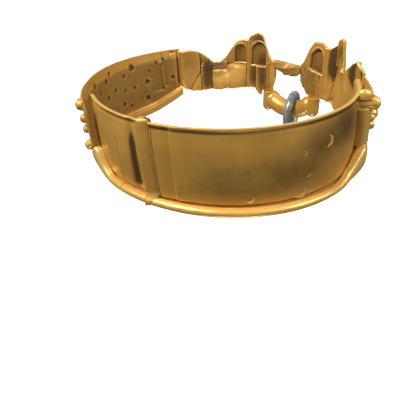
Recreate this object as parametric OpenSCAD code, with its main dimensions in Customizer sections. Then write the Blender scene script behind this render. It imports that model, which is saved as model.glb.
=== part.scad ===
// Rigid cast collar, worn close round the neck, with a pierced front and a drop ring.
// Seen from above, angles are counted from the front (-Y) towards the left side (+X).
// Heights are counted from the underside of the lower rim.

/* [Band] */
// Half the width of the band, side to side, at its top edge
half_w = 64; // [60:0.5:68]
// Half the depth of the band, front to back, at its top edge
half_d = 56; // [53:0.5:59]
// Height of the band at the back and sides
band_h = 34.5; // [32:0.5:37]
// Thickness of the sheet that the band is formed from
sheet_t = 1.5; // [1:0.1:2]
// How much wider the side wall is at the foot than at the top, as a share
flare = 0.041; // [0.02:0.001:0.06]

/* [Back] */
// Angle where the plain back ends on the left, behind the side plate
back_left_end = 147; // [140:1:150]
// Angle where the plain back ends on the right, behind the side plate
back_right_end = -62; // [-64:1:-55]
// Middle angle of the rib that covers the closure, at its top
rib_angle = -168.3; // [-172:0.1:-160]
// Angle that the closure rib covers
rib_span = 5.8; // [5:0.1:8]
// How far the closure leans to the right from its top to its foot, as an angle
closure_lean = 1.8; // [0:0.1:3]
// How far the closure rib stands out of the plain back
rib_proud = 1.6; // [1:0.1:2.5]
// Angle of the long dent beside the closure
dent_angle = 182.6; // [180:0.1:184]
// Depth of that dent
dent_depth = 1.1; // [0.4:0.1:1.3]
// Angle of the ridge where the lap of the closure ends, on the right
ridge_angle = -156.7; // [-158:0.1:-155]
// How far that ridge stands out
ridge_proud = 0.5; // [0.3:0.1:1]

/* [Side plates] */
// Angle where the left side plate meets the front
side_left_start = 62.5; // [60:0.5:66]
// Angle where the left side plate ends, over the plain back
side_left_end = 154.5; // [152:0.5:156]
// Angle where the right side plate meets the front
side_right_start = -57.5; // [-60:0.5:-56]
// Angle where the right side plate ends, over the plain back
side_right_end = -80; // [-82:0.5:-70]
// Height of a raised stud as a share of the radius of its foot
stud_rise = 1.15; // [0.8:0.05:1.2]

/* [Front] */
// Middle angle of the open front
front_angle = -6; // [-8:0.5:-5]
// Diameter of the bow that carries the drop ring
bow_d = 9.2; // [8:0.1:10]
// Radius of the bow's arc, at the middle of the bar
bow_arc_r = 21; // [20:0.5:25]
// Height of the bow's lowest point, at the middle of the bar
bow_z = 2; // [1.6:0.1:2.4]
// How far the bow's lowest point lies left of the middle of the front
bow_shift = 2.6; // [0:0.1:4]
// Distance of the bow from the middle of the collar
bow_r = 56.2; // [55.5:0.1:57]

/* [Drop ring] */
// Outside diameter of the drop ring
ring_od = 24.4; // [23:0.1:25.4]
// Diameter of the drop ring's wire
ring_wire = 4.4; // [4:0.1:4.8]
// Clearance between the ring and the bow that it hangs on
ring_gap = 1.2; // [0.8:0.1:1.6]
// Where the ring hangs, left of the middle of the front
ring_shift = -1; // [-3:0.1:3]
// Direction in which the ring's plane points outwards
ring_turn = 16; // [-10:1:25]

/* [Hidden] */
gold = [0.80, 0.60, 0.27];
steel = [0.50, 0.55, 0.60];

// Gap that two pieces keep where they meet
seat = 0.15;
// Angle between two sections of a wall
step = 3;
// Half the angle of the seam under the closure rib: between the panels, and between the rims
seam_half = 0.5;
rim_seam_half = 0.3;
// Rows of points up a side plate, and how far under its top the last row but one lies
side_rows = 6;
side_lip = 1;
// Height of the rim's ledge, where the plain back stands, and of its crest, where the side plates stand
ledge_z = 4.2;
crest_z = 4.7;
// How far from the closure its lean is felt, as an angle
lean_reach = 30;
// How far the side plates and the rim stand outside the band's plan: [angle, at the top, at the foot]
SPREAD_LEFT = [[126, 0, 0], [154.5, 2.6, 0.8], [164, 0, 0]];
SPREAD_RIGHT = [[57.5, 1, 1], [66, 1, 1], [80, 2.2, 2.2], [88, 0, 0]];
full_turn = 360;

// Share of the band's plan that the plain back has at each share of its height: [of height, of plan]
BACK_PROFILE = [[0, 0.985], [0.35, 0.986], [0.58, 0.981], [0.75, 0.972], [0.9, 0.958], [0.97, 0.950],
                [1, 0.953]];
// Heights of the rows of points on the plain back, from the foot up
BACK_ROWS = concat([ledge_z + seat], [for (s = [0.23, 0.41, 0.58, 0.75, 0.9, 0.97, 1]) s * band_h]);

// Half the angle that the dent covers, and the height of its deepest point and of its reach up and down
dent_half = 4;
dent_z = 8;
dent_reach = 26;
// Share of its depth that the dent keeps along its whole length
dent_least = 0.45;
// Half the angle that the lap's ridge covers, and how far the lap itself stands out
ridge_half = 2.5;
lap_proud = 0.3;
// The closure rib from its foot up: [height, share of its width and of its stand, turn of its middle]
RIB_ROWS = [[0.1, 0.15, -2.2], [1.6, 0.5, -1.4], [3.6, 0.85, -0.5], [8, 1, 0], [16, 1, 0],
            [0.7 * band_h, 1, 0], [0.9 * band_h, 1, 0], [band_h + 0.3, 0.95, 0], [band_h + 0.9, 0.7, 0]];
// Points across the rib, as shares of half its width
RIB_ACROSS = [-1, -0.8, -0.45, 0, 0.45, 0.8, 1];
// How deep the rib goes into the seam
rib_depth = 1.2;
// Share of the band's plan that the rib's back follows: over the rim first, then along the plain back
RIB_PROFILE = concat([[2.5, 1.035], [5, 0.985]],
                     [for (row = BACK_PROFILE) if (row[0] > 0) [row[0] * band_h, row[1]]]);

// A raised dome in section: [share of its height, share of its foot's radius]
DOME_ROWS = [[0, 1], [0.55, 0.8], [0.95, 0.38]];
dome_sides = 8;
// Height of the disc at each row of a dome, as a share of the dome's height
dome_disc = 0.05;
// How far the foot of a stud and of a low mark is sunk into its wall, and a low mark's height
stud_sunk = 0.3;
mark_sunk = 0.2;
mark_h = 0.7;

// Outline of the lower rim in section: [distance outside the plan, height over its underside]
RIM_SECTION = [[-2.2, 0.0], [-0.6, 0.0], [1.0, 0.9], [2.1, 1.9], [2.6, 2.8], [2.4, 3.8], [1.6, 4.5],
               [0.6, 4.7], [-0.4, 4.6], [-0.8, 4.1], [-2.4, 4.1], [-2.9, 3.7], [-2.9, 0.7]];
// Distance outside the plan past which the rim spreads with the side plates
rim_core = -0.6;
// How far the underside of the rim is lifted on the left: [angle, lift]
RIM_LIFT_LEFT = [[62, 8.4], [68, 5.1], [73, 3.0], [78, 1.2], [84, 0.3], [92, 0], [200, 0]];
// The same on the right, by the angle's size
RIM_LIFT_RIGHT = [[57, 3.4], [60, 1.6], [64, 0.3], [69, 0], [200, 0]];

// Left half of the front, from the side plate to the opening:
// [angle, top height, foot height, swell at the top, at the middle and at the foot, lean of the foot]
FRONT_LEFT = [
    [62.3, 32.7, 12.2, 0.0, 0.0, 0.0, 0],
    [59.5, 32.4, 10.0, 0.8, 0.2, -0.6, 0],
    [56.0, 32.4, 8.8, 1.0, 0.4, 0.0, 0],
    [52.0, 31.6, 8.8, 0.8, 0.2, -0.4, 0],
    [49.0, 30.0, 8.9, 0.0, -0.8, -1.4, 0],
    [46.0, 27.9, 9.1, -0.8, -0.2, -1.6, 0],
    [43.5, 25.6, 9.1, -0.8, 0.8, -1.8, 0],
    [39.5, 25.7, 9.5, -0.6, 1.2, -2.0, 0],
    [36.0, 28.5, 10.2, -0.4, 1.4, -2.0, 0],
    [32.5, 33.2, 10.4, 0.2, 1.2, -1.8, 0],
    [29.5, 36.9, 10.6, 0.8, 0.8, -1.6, 0],
    [26.5, 37.7, 10.8, 1.0, 0.6, -1.4, 0],
    [23.0, 37.6, 10.9, 0.2, 0.2, -1.2, 0],
    [21.0, 40.2, 10.9, 0.8, -0.2, -1.2, 0],
    [18.5, 41.0, 10.8, 1.2, -0.6, -1.4, 0],
    [16.2, 41.5, 8.4, 0.8, -1.0, -1.2, 0],
    [14.6, 40.8, 6.6, 0.4, -1.1, -0.9, 0],
    [13.6, 39.8, 10.2, 0.1, -1.2, -0.8, 0],
    [12.0, 36.0, 10.2, -0.2, -1.2, -0.6, 0],
    [10.0, 31.0, 10.2, -0.4, -0.8, -0.4, 0.6],
    [8.0, 28.2, 10.2, -0.4, -0.4, -0.2, 1.4],
    [4.9, 27.4, 10.2, -0.4, -0.4, 0.0, 2.9]];
// Right half of the front, from the opening to the side plate, with the same columns
FRONT_RIGHT = [
    [-11.0, 27.8, 12.8, -0.4, -0.4, 0.0, -4.5],
    [-13.2, 29.8, 12.8, -0.4, -0.4, -0.2, -3.3],
    [-15.0, 33.2, 12.8, -0.4, -0.8, -0.4, -2.4],
    [-16.8, 37.3, 12.8, 0.2, -1.2, -0.8, -1.4],
    [-19.2, 40.5, 12.8, 0.8, -1.4, -0.6, 0],
    [-22.0, 40.4, 12.8, 1.2, -1.2, -0.6, 0],
    [-25.0, 40.4, 12.8, 0.8, -0.8, -1.0, 0],
    [-28.0, 39.1, 13.9, 0.2, -0.4, -1.2, 0],
    [-30.5, 39.1, 14.3, 0.0, 0.0, -1.4, 0],
    [-33.0, 41.0, 14.2, 0.4, 0.4, -1.6, 0],
    [-35.5, 43.6, 14.0, 0.8, 0.8, -1.8, 0],
    [-37.5, 44.7, 13.6, 0.8, 1.0, -1.8, 0],
    [-40.0, 44.2, 13.0, 0.4, 1.2, -1.8, 0],
    [-42.0, 32.2, 12.4, -0.6, 1.2, -1.6, 0],
    [-44.0, 31.6, 11.4, -0.8, 0.6, -1.4, 0],
    [-47.0, 34.6, 9.9, -0.4, -0.6, -1.2, 0],
    [-50.0, 37.4, 8.6, 0.6, 0.2, -0.4, 0],
    [-52.0, 38.6, 7.8, 1.0, 0.4, 0.0, 0],
    [-54.5, 36.8, 7.4, 1.1, 0.6, 0.2, 0],
    [-57.0, 35.8, 7.6, 0.9, 0.9, 0.9, 0]];

// Studs on the left side plate: [angle, height, radius]
STUDS_LEFT = [
    [66.9, 18.7, 1.7], [71.4, 29.9, 1.4], [75.4, 28.5, 1.5], [79.8, 24.9, 1.3], [81.6, 19.0, 2.2],
    [82.2, 9.4, 2.1], [89.7, 17.9, 1.7], [90.0, 29.1, 2.6], [93.2, 8.2, 1.4], [95.7, 25.9, 1.6],
    [95.9, 18.1, 1.6], [97.7, 10.7, 1.8], [102.5, 20.6, 1.7], [105.7, 30.3, 1.5], [108.8, 18.7, 1.9],
    [109.1, 27.4, 2.0], [110.5, 9.4, 2.1], [115.6, 23.8, 1.5], [118.2, 14.6, 2.4], [121.0, 29.3, 1.9],
    [124.4, 8.6, 1.5], [126.5, 20.2, 2.0], [131.0, 27.6, 1.5], [132.2, 12.8, 2.3], [141.0, 29.0, 2.5],
    [143.6, 22.4, 1.6], [139.4, 17.2, 1.9], [141.2, 8.9, 2.6], [149.6, 31.2, 2.3], [150.2, 25.6, 1.9],
    [150.6, 20.9, 1.7], [149.8, 13.4, 2.4]];
// The same on the right side plate
STUDS_RIGHT = [
    [-60.9, 30.9, 1.6], [-66.4, 28.3, 2.2], [-61.4, 22.6, 1.8], [-70.9, 24.3, 2.9], [-66.0, 16.6, 2.4],
    [-61.8, 11.6, 1.7], [-70.2, 9.6, 2.2], [-76.0, 30.6, 2.8], [-76.3, 24.9, 1.5], [-76.5, 21.6, 1.8],
    [-76.4, 17.4, 1.6], [-76.3, 11.9, 1.9], [-76.2, 7.6, 2.2]];
// Rows of points on the front, as shares of its height, and the share under which its inner ends lean
FRONT_SHARES = [0, 0.14, 0.3, 0.46, 0.62, 0.78, 0.9, 1];
lean_share = 0.5;
swell_share = 0.46;
// The bar over the opening: [angle, height, half its height in section]
BRIDGE = [[-10.7, 25.2, 2.4], [-9.0, 24.8, 2.9], [-7, 24.4, 3.2], [-2.5, 24.2, 3.4], [1, 24.6, 3.2],
          [3.2, 25.0, 2.9], [4.6, 25.0, 2.4]];
bridge_sides = 12;
// How far the bar's middle lies inside the wall's face, and its depth as a share of its height
bridge_inset = 1.6;
bridge_depth = 0.8;
// The posts of the bow: [angle, height of the foot, height where it meets the sheet of the front]
BOW_POSTS = [[9.8, -1.5, 9.9], [-21.8, 2.2, 12.5]];
post_d = 6.4;
post_r = 57;
// Diameter of the round ends of the bow's bar
bow_end_d = bow_d + 0.4;
// Angles over which the bow's arc reaches left and right of its lowest point
bow_left = 32;
bow_right = 42;
// How far the middle of the ring hangs below the middle of the bow's bar
ring_drop = (ring_od - 2 * ring_wire - bow_d) / 2 - ring_gap;
// Height of the bow's bar over its lowest point where the ring hangs
ring_lift = bow_arc_r - sqrt(pow(bow_arc_r, 2) - pow(bow_shift - ring_shift, 2));
// Low marks on the plain back, right of the closure: [angle, height, radius]
LOW_MARKS = [[-97.3, 23.0, 2.2], [-108.0, 21.6, 0.8], [-106.0, 11.7, 1.1], [-108.6, 7.2, 2.1],
             [-127.6, 6.8, 1.6]];

// Radius of the band's plan at an angle
function plan_r(p) = half_w * half_d / norm([half_d * sin(p), half_w * cos(p)]);
// How far the side plates and the rim stand outside the plan at an angle and a height
function spread(p, z, table) =
    let (top = lookup(abs(p), [for (row = table) [row[0], row[1]]]),
         foot = lookup(abs(p), [for (row = table) [row[0], row[2]]]))
    foot + (top - foot) * z / band_h;
// Radius of the outside of the side wall and the front
function wall_r(p, z) = plan_r(p) * (1 + flare * (band_h - z) / band_h);
// Radius of the outside of the plain back
function back_r(p, z) = plan_r(p) * lookup(z / band_h, BACK_PROFILE);
// A smooth hump, 1 in the middle and 0 past its half width
function hump(d, half) = abs(d) >= half ? 0 : 0.5 + 0.5 * cos(180 * d / half);
// A point at an angle, a radius and a height
function place(p, r, z) = [r * sin(p), -r * cos(p), z];
// Evenly spaced angles from one to another, no further apart than a section's step
function spaced(a, b, most = step) =
    let (n = ceil(abs(b - a) / most)) [for (i = [0:n]) a + (b - a) * i / n];
// The closure's edges; the left one is counted past 180, so that the left panel runs on to it
rib_left = full_turn + rib_angle - rib_span / 2;
rib_right = rib_angle + rib_span / 2;

// A solid through a row of closed loops that have the same number of points.
// The ends of a folded loop, such as a sheet's, are closed in strips across it.
module loft(loops, folded = false) {
    n = len(loops);
    m = len(loops[0]);
    sides = [for (i = [0:n - 2]) for (j = [0:m - 1])
        let (a = i * m + j, b = i * m + (j + 1) % m) each [[a, b, b + m], [a, b + m, a + m]]];
    ends = folded ? [for (j = [0:m / 2 - 2]) [j, j + 1, m - 2 - j, m - 1 - j]] : [[for (j = [0:m - 1]) j]];
    first = [for (end = ends) [for (k = [len(end) - 1:-1:0]) end[k]]];
    last = [for (end = ends) [for (k = end) (n - 1) * m + k]];
    polyhedron(points = [for (loop = loops) each loop], faces = concat(sides, first, last));
}

// One loop of a sheet wall: up its outside and down its inside
function sheet_loop(turns, radii, heights) = concat(
    [for (i = [0:len(heights) - 1]) place(turns[i], radii[i], heights[i])],
    [for (i = [len(heights) - 1:-1:0]) place(turns[i], radii[i] - sheet_t, heights[i])]);

// How far the back is turned at a height by the lean of the closure
function back_turn(p, z) =
    closure_lean * (1 - z / band_h) * hump((p > 0 ? p - full_turn : p) - rib_angle, lean_reach);

// How far the plain back stands in or out beside the closure
function back_relief(p, z) =
    let (q = p > 0 ? p - full_turn : p)
    -dent_depth * hump(q - (dent_angle - full_turn), dent_half)
        * (dent_least + (1 - dent_least) * hump(z - dent_z, dent_reach))
    + ridge_proud * hump(q - ridge_angle, ridge_half) + (q > rib_angle && q < ridge_angle ? lap_proud : 0);

module back_panel(a, b) {
    loft([for (p = spaced(a, b))
        sheet_loop([for (z = BACK_ROWS) p + back_turn(p, z)],
                   [for (z = BACK_ROWS) back_r(p, z) + back_relief(p, z)], BACK_ROWS)], folded = true);
}

module back_panel_left() {
    color(gold) back_panel(back_left_end, rib_left - seam_half);
}

module back_panel_right() {
    color(gold) union() {
        back_panel(rib_right + seam_half, back_right_end);
        for (mark = LOW_MARKS)
            dome(mark[0], mark[1], back_r(mark[0], mark[1]) - mark_sunk, mark[2], mark_h);
    }
}

// A raised dome whose foot is sunk a little into the wall that it stands on
module dome(p, z, r, foot_r, high) {
    translate(place(p, r, z)) rotate([0, 90, p - 90]) hull()
        for (row = DOME_ROWS)
            translate([0, 0, high * row[0]])
                cylinder(r = foot_r * row[1], h = high * dome_disc, $fn = dome_sides);
}

// The closure rib stands over the seam, and its foot ends in a point below the rim
module closure_rib() {
    color(gold) loft([for (row = RIB_ROWS)
        let (z = row[0], half = rib_span / 2 * row[1], turn = rib_angle + back_turn(rib_angle, z) + row[2],
             base = plan_r(rib_angle) * lookup(z, RIB_PROFILE))
        concat([for (u = RIB_ACROSS)
                   place(turn - u * half, base + rib_proud * sqrt(1 - u * u) * row[1], z)],
               [for (u = [1, -1]) place(turn - u * half, base - rib_depth, z)])]);
}

module lower_rim(a, b, lift, wide) {
    color(gold) loft([for (p = spaced(a, b))
        [for (q = RIM_SECTION)
            place(p + back_turn(p, 0), plan_r(p) + q[0] + (q[0] < rim_core ? 0 : spread(p, 0, wide)),
                  q[1] + lookup(abs(p), lift))]]);
}

module lower_rim_left() lower_rim(side_left_start, rib_left - rim_seam_half, RIM_LIFT_LEFT, SPREAD_LEFT);

module lower_rim_right()
    lower_rim(rib_right + rim_seam_half, side_right_start, RIM_LIFT_RIGHT, SPREAD_RIGHT);

module side_plate(a, b, lift, wide, studs) {
    color(gold) union() {
        loft([for (p = spaced(a, b))
            let (foot = crest_z + seat + lookup(abs(p), lift),
                 heights = concat([for (i = [0:side_rows - 1]) foot + (band_h - foot) * i / side_rows],
                                  [band_h - side_lip, band_h]))
            sheet_loop([for (z = heights) p], [for (z = heights) wall_r(p, z) + spread(p, z, wide)],
                       heights)]);
        for (stud = studs)
            dome(stud[0], stud[1],
                 wall_r(stud[0], stud[1]) + spread(stud[0], stud[1], wide) - stud_sunk,
                 stud[2], stud_sunk + stud_rise * stud[2]);
    }
}

module side_plate_left()
    side_plate(side_left_start, side_left_end, RIM_LIFT_LEFT, SPREAD_LEFT, STUDS_LEFT);

module side_plate_right()
    side_plate(side_right_end, side_right_start, RIM_LIFT_RIGHT, SPREAD_RIGHT, STUDS_RIGHT);

// One half of the front: a cast sheet that swells in and out between its top and its foot
module front_wing(table) {
    color(gold) loft([for (i = [len(table) - 1:-1:0])
        let (row = table[i], swell = [[0, row[5]], [swell_share, row[4]], [1, row[3]]],
             lean = [[0, row[6]], [lean_share, 0]],
             face = [for (s = FRONT_SHARES)
                 let (p = row[0] + lookup(s, lean), z = row[2] + (row[1] - row[2]) * s)
                 [p, wall_r(p, z) + lookup(s, swell), z]])
        concat([for (q = face) place(q[0], q[1], q[2])],
               [for (j = [len(face) - 1:-1:0]) place(face[j][0], face[j][1] - sheet_t, face[j][2])])],
        folded = true);
}

module front_wing_left() front_wing(FRONT_LEFT);

module front_wing_right() front_wing(FRONT_RIGHT);

// The bar over the opening, which swells towards its middle
module top_bridge() {
    color(gold) loft([for (row = BRIDGE)
        [for (k = [0:bridge_sides - 1]) let (w = full_turn * k / bridge_sides)
            place(row[0], wall_r(row[0], row[1]) - bridge_inset + row[2] * bridge_depth * cos(w),
                  row[1] + row[2] * sin(w))]]);
}

// The upright plane in which the bow lies, with its lowest point straight over the plane's origin
module bow_plane(shift) {
    translate(place(front_angle, bow_r, bow_z)) rotate([90, 0, front_angle]) translate([shift, 0, 0])
        children();
}

// The bow is a bar bent in an arc, round at its ends, with a short upright post at each end
module pendant_bow() {
    color(gold) {
        bow_plane(bow_shift) translate([0, bow_arc_r, 0]) {
            rotate([0, 0, 270 - bow_right]) rotate_extrude(angle = bow_left + bow_right, $fn = 96)
                translate([bow_arc_r, 0]) circle(d = bow_d, $fn = 32);
            for (turn = [270 + bow_left, 270 - bow_right])
                rotate([0, 0, turn]) translate([bow_arc_r, 0, 0]) sphere(d = bow_end_d, $fn = 48);
        }
        for (post = BOW_POSTS)
            translate(place(post[0], post_r, post[1] + post_d / 2)) {
                cylinder(d = post_d, h = post[2] - post[1] - post_d / 2, $fn = 48);
                sphere(d = post_d, $fn = 48);
            }
    }
}

module drop_ring() {
    color(steel) bow_plane(ring_shift) translate([0, ring_lift - ring_drop, 0])
        rotate([0, 90 + ring_turn - front_angle, 0])
            rotate_extrude($fn = 96)
                translate([(ring_od - ring_wire) / 2, 0]) circle(d = ring_wire, $fn = 32);
}

back_panel_left();
back_panel_right();
closure_rib();
lower_rim_left();
lower_rim_right();
side_plate_left();
side_plate_right();
front_wing_left();
front_wing_right();
top_bridge();
pendant_bow();
drop_ring();
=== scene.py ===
"""The looks of a rigid gold-coloured choker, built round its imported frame.

Angles are in degrees, counted from the front (-Y) towards the wearer's left (+X) as seen from above, and
heights are counted from the underside of the lower rim. Shapes are worked out in millimetres and set down
in metres. A radius is the distance from the upright line through the middle of the collar.
"""

import logging
import math
from dataclasses import dataclass, field
from enum import Enum
from typing import Sequence

import bpy
import numpy as np
from mathutils import Matrix, Vector


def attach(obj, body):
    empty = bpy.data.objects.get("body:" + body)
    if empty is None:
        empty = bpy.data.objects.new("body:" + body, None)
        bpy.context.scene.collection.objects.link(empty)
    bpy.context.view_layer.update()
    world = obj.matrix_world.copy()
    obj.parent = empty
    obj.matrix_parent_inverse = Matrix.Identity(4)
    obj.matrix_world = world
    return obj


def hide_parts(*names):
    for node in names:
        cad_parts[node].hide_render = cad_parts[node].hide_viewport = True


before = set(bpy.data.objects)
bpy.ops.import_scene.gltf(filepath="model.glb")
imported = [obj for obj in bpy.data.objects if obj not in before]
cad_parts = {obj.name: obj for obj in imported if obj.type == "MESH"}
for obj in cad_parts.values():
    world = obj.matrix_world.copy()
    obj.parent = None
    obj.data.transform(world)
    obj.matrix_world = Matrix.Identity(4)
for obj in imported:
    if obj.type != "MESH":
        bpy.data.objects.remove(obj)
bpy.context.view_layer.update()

MM = 0.001
FULL_TURN = 360.0
# The angle between two faces above which their edge stays sharp, on plain and on cast pieces
SHARP_EDGE = 40.0
SHARP_CAST_EDGE = 50.0
# How polished the round edges of a sheet are
EDGE_WEAR = 0.6
# How fast a patch of polish or tarnish fades past its half size
PATCH_FALL = 0.9
# How often a form is averaged before what stands out of it counts as polished
WEAR_PASSES = 10
# The narrowest step between two points along a piece
LEAST_STEP = 0.02
# The least length that a direction is divided by
LEAST_LENGTH = 1e-9

Array = np.ndarray
Colour = tuple[float, float, float]
Faces = list[tuple[int, ...]]
Pairs = tuple[tuple[float, float], ...]
Triples = tuple[tuple[float, float, float], ...]
Fives = tuple[tuple[float, float, float, float, float], ...]
Rows = Sequence[Sequence[float]]

log = logging.getLogger("choker")


class Body(Enum):
    """The two bodies; every piece built here rides on the collar."""

    COLLAR = "collar"
    DROP = "drop"


class Slot(Enum):
    """The record's material slots."""

    GOLD = "gold"
    STEEL = "steel"


# Shapes


def ramp(value: Array | float, low: float, high: float) -> Array:
    """Rises smoothly from 0 at low to 1 at high, or falls where high is the lower of the two.

    Args:
        value: The values to grade.
        low: Where the result is 0.
        high: Where the result is 1.

    Returns:
        The graded values, from 0 to 1.
    """
    t = np.clip((value - low) / (high - low), 0.0, 1.0)
    return t * t * (3.0 - 2.0 * t)


def hump(value: Array, half: float) -> Array:
    """A smooth hump, 1 at 0 and 0 past half on both sides."""
    return np.where(np.abs(value) < half, 0.5 + 0.5 * np.cos(np.pi * value / half), 0.0)


def place(angle: Array, radius: Array, height: Array) -> Array:
    """Points at angles, radii and heights.

    Args:
        angle: Angles in degrees from the front.
        radius: Distances from the middle of the collar.
        height: Heights over the rim's underside.

    Returns:
        An array with a last axis of x, y and z.
    """
    turn = np.radians(angle)
    return np.stack(np.broadcast_arrays(radius * np.sin(turn), -radius * np.cos(turn), height), -1)


def between(value: Array, low: float, high: float, outside: float, inside: float) -> Array:
    """Is 1 from low to high and 0 elsewhere, with soft ends.

    Args:
        value: The values to test.
        low: The lower end.
        high: The higher end.
        outside: How far a soft end reaches outwards.
        inside: How far it reaches inwards.

    Returns:
        The share, from 0 to 1.
    """
    return ramp(value, low - outside, low + inside) * ramp(value, high + outside, high - inside)


def blurred(values: Array, passes: int) -> Array:
    """Averages each value of a grid with its neighbours.

    Args:
        values: A grid of two axes.
        passes: How often to do it.

    Returns:
        The smoother grid, of the same size.
    """
    for _ in range(passes):
        for axis in (0, 1):
            places = np.arange(values.shape[axis])
            before = values.take(np.maximum(places - 1, 0), axis)
            after = values.take(np.minimum(places + 1, places[-1]), axis)
            values = (before + 2.0 * values + after) / 4.0
    return values


def proud(values: Array) -> Array:
    """How far each value of a grid stands out of its surroundings."""
    return values - blurred(values, WEAR_PASSES)


def painted_light_patches(rows: Rows, angle: Array, height: Array) -> Array:
    """Soft patches of painted light and painted shade.

    Args:
        rows: Angle and height of each patch's middle, its half sizes in both, and its amount, which is over 0
            for painted light and under 0 for painted shade.
        angle: Angles.
        height: Heights.

    Returns:
        What is added to each point's value for painted light and painted shade.
    """
    total = np.zeros_like(angle * height)
    for spot, level, wide, tall, amount in rows:
        away = ((angle - spot) / wide) ** 2 + ((height - level) / tall) ** 2
        total += amount * np.exp(-PATCH_FALL * away**1.5)
    return total


class Grain:
    """Smooth random values over a plane, the same in every run."""

    # How many cells each finer layer is shifted by
    SHIFT = 17.0

    def __init__(self, seed: int, size: int = 128) -> None:
        """Draws the lattice that the values run through.

        Args:
            seed: Which lattice to draw.
            size: How many cells it has each way before it repeats.
        """
        self.size = size
        self.lattice = np.random.default_rng(seed).uniform(-1.0, 1.0, (size, size))

    def at(self, u: Array, v: Array) -> Array:
        """The values at places given in cells, from -1 to 1."""
        i, j = np.floor(u).astype(int), np.floor(v).astype(int)
        fu, fv = ramp(u - i, 0.0, 1.0), ramp(v - j, 0.0, 1.0)
        corner = [[self.lattice[(i + a) % self.size, (j + b) % self.size] for b in (0, 1)] for a in (0, 1)]
        left = corner[0][0] * (1.0 - fv) + corner[0][1] * fv
        right = corner[1][0] * (1.0 - fv) + corner[1][1] * fv
        return left * (1.0 - fu) + right * fu

    def layered(self, u: Array, v: Array, layers: int = 3) -> Array:
        """The sum of ever finer and weaker values, from about -1 to 1."""
        total = sum(self.at(u * 2.0**k + self.SHIFT * k, v * 2.0**k) * 0.5**k for k in range(layers))
        return total / (2.0 - 0.5 ** (layers - 1))


@dataclass(frozen=True)
class Waves:
    """Layers of smooth random values over angles and heights."""

    seed: int
    amount: float
    # The size of a cell, and where the lattice starts in cells, both along and up
    cell: tuple[float, float]
    start: tuple[float, float] = (0.0, 0.0)
    layers: int = 3

    def at(self, angle: Array, height: Array) -> Array:
        """The values at angles and heights."""
        u, v = angle / self.cell[0] + self.start[0], height / self.cell[1] + self.start[1]
        return self.amount * Grain(self.seed).layered(u, v, self.layers)


@dataclass(frozen=True)
class Band:
    """The conical band that the whole collar follows, in millimetres."""

    half_w: float = 64.0
    half_d: float = 56.0
    height: float = 34.5
    sheet: float = 1.5
    flare: float = 0.041
    ledge: float = 4.2
    crest: float = 4.7
    seat: float = 0.15
    rib_angle: float = -168.3
    rib_span: float = 5.8
    lean: float = 1.8
    lean_reach: float = 30.0
    # Over how many millimetres the back's profile is smoothed, and over how many degrees the rim's rise
    soften: float = 1.6
    soften_rise: float = 2.4
    # How many places each of the two is the mean of
    soften_places: tuple[int, int] = (7, 9)
    # The plain back: share of the band's height, share of its plan
    back_profile: Pairs = (
        (0, 0.985), (0.35, 0.986), (0.58, 0.981), (0.75, 0.972), (0.9, 0.958), (0.97, 0.950), (1, 0.951))
    # How far the side plates and the rim stand outside the plan: size of the angle, at the top, at the foot
    spread_left: Triples = ((126, 0, 0), (154.5, 2.6, 0.8), (164, 0, 0))
    spread_right: Triples = ((57.5, 1, 1), (66, 1, 1), (80, 2.2, 2.2), (88, 0, 0))
    # How much the rolled rim rises where the side plates begin: angle from 0 to 360, share of its height
    rim_rise: Pairs = (
        (130, 0), (140, 0.5), (147, 1.3), (152, 2.0), (155, 2.2), (158, 1.4), (162, 0.4), (167, 0), (266, 0),
        (271, 0.3), (276, 1.2), (280, 2.0), (284, 2.2), (288, 1.8), (294, 0.9), (300, 0.4), (304, 0.3))

    def rising(self, angle: Array) -> Array:
        """How many times its height the rolled rim has."""
        shifts = np.linspace(-self.soften_rise, self.soften_rise, self.soften_places[1])
        around = [np.interp(angle % FULL_TURN + shift, *zip(*self.rim_rise)) for shift in shifts]
        return 1.0 + sum(around) / len(around)

    def plan(self, angle: Array) -> Array:
        """The radius of the band's oval at its top edge."""
        turn = np.radians(angle)
        return self.half_w * self.half_d / np.hypot(self.half_d * np.sin(turn), self.half_w * np.cos(turn))

    def wall(self, angle: Array, height: Array) -> Array:
        """The radius of the outside of the side plates and the front."""
        return self.plan(angle) * (1.0 + self.flare * (self.height - height) / self.height)

    def back(self, angle: Array, height: Array) -> Array:
        """The radius of the outside of the plain back, whose profile is smooth."""
        spots, shares = np.array(self.back_profile).T
        shifts = np.linspace(-self.soften, self.soften, self.soften_places[0])
        around = [np.interp(height + shift, spots * self.height, shares) for shift in shifts]
        return self.plan(angle) * sum(around) / len(around)

    def spread(self, angle: Array, height: Array) -> Array:
        """How far the side plates and the rim stand outside the plan."""
        turn = (angle + FULL_TURN / 2) % FULL_TURN - FULL_TURN / 2
        sides = []
        for table in (self.spread_left, self.spread_right):
            spots, top, foot = np.array(table).T
            high, low = np.interp(np.abs(turn), spots, top), np.interp(np.abs(turn), spots, foot)
            sides.append(low + (high - low) * height / self.height)
        return np.where(turn > 0, *sides)

    def leaned(self, angle: Array, height: Array) -> Array:
        """Angles on the back, turned by the lean of the closure."""
        share = hump(angle - self.rib_angle, self.lean_reach)
        return angle + self.lean * (1.0 - height / self.height) * share


@dataclass
class Patch:
    """A stretch of sheet metal as grids over its length and its height."""

    angle: Array
    height: Array
    outer: Array
    inner: Array
    wear: Array
    wear_and_painted_light_inner: Array


def loft_faces(sections: int, points: int) -> Faces:
    """The faces between neighbouring closed loops, facing out where the angle rises from loop to loop.

    Args:
        sections: How many loops there are.
        points: How many points each loop has.

    Returns:
        The faces as point numbers.
    """
    corners = [(i * points, j, (j + 1) % points) for i in range(sections - 1) for j in range(points)]
    return [(row + j, row + points + j, row + points + after, row + after) for row, j, after in corners]


def folded_ends(sections: int, points: int) -> Faces:
    """The faces that close the two ends of a loft whose loops fold back on themselves."""
    last = (sections - 1) * points
    pairs = [(j, j + 1, points - 2 - j, points - 1 - j) for j in range(points // 2 - 1)]
    return pairs + [tuple(last + k for k in reversed(pair)) for pair in pairs]


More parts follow.
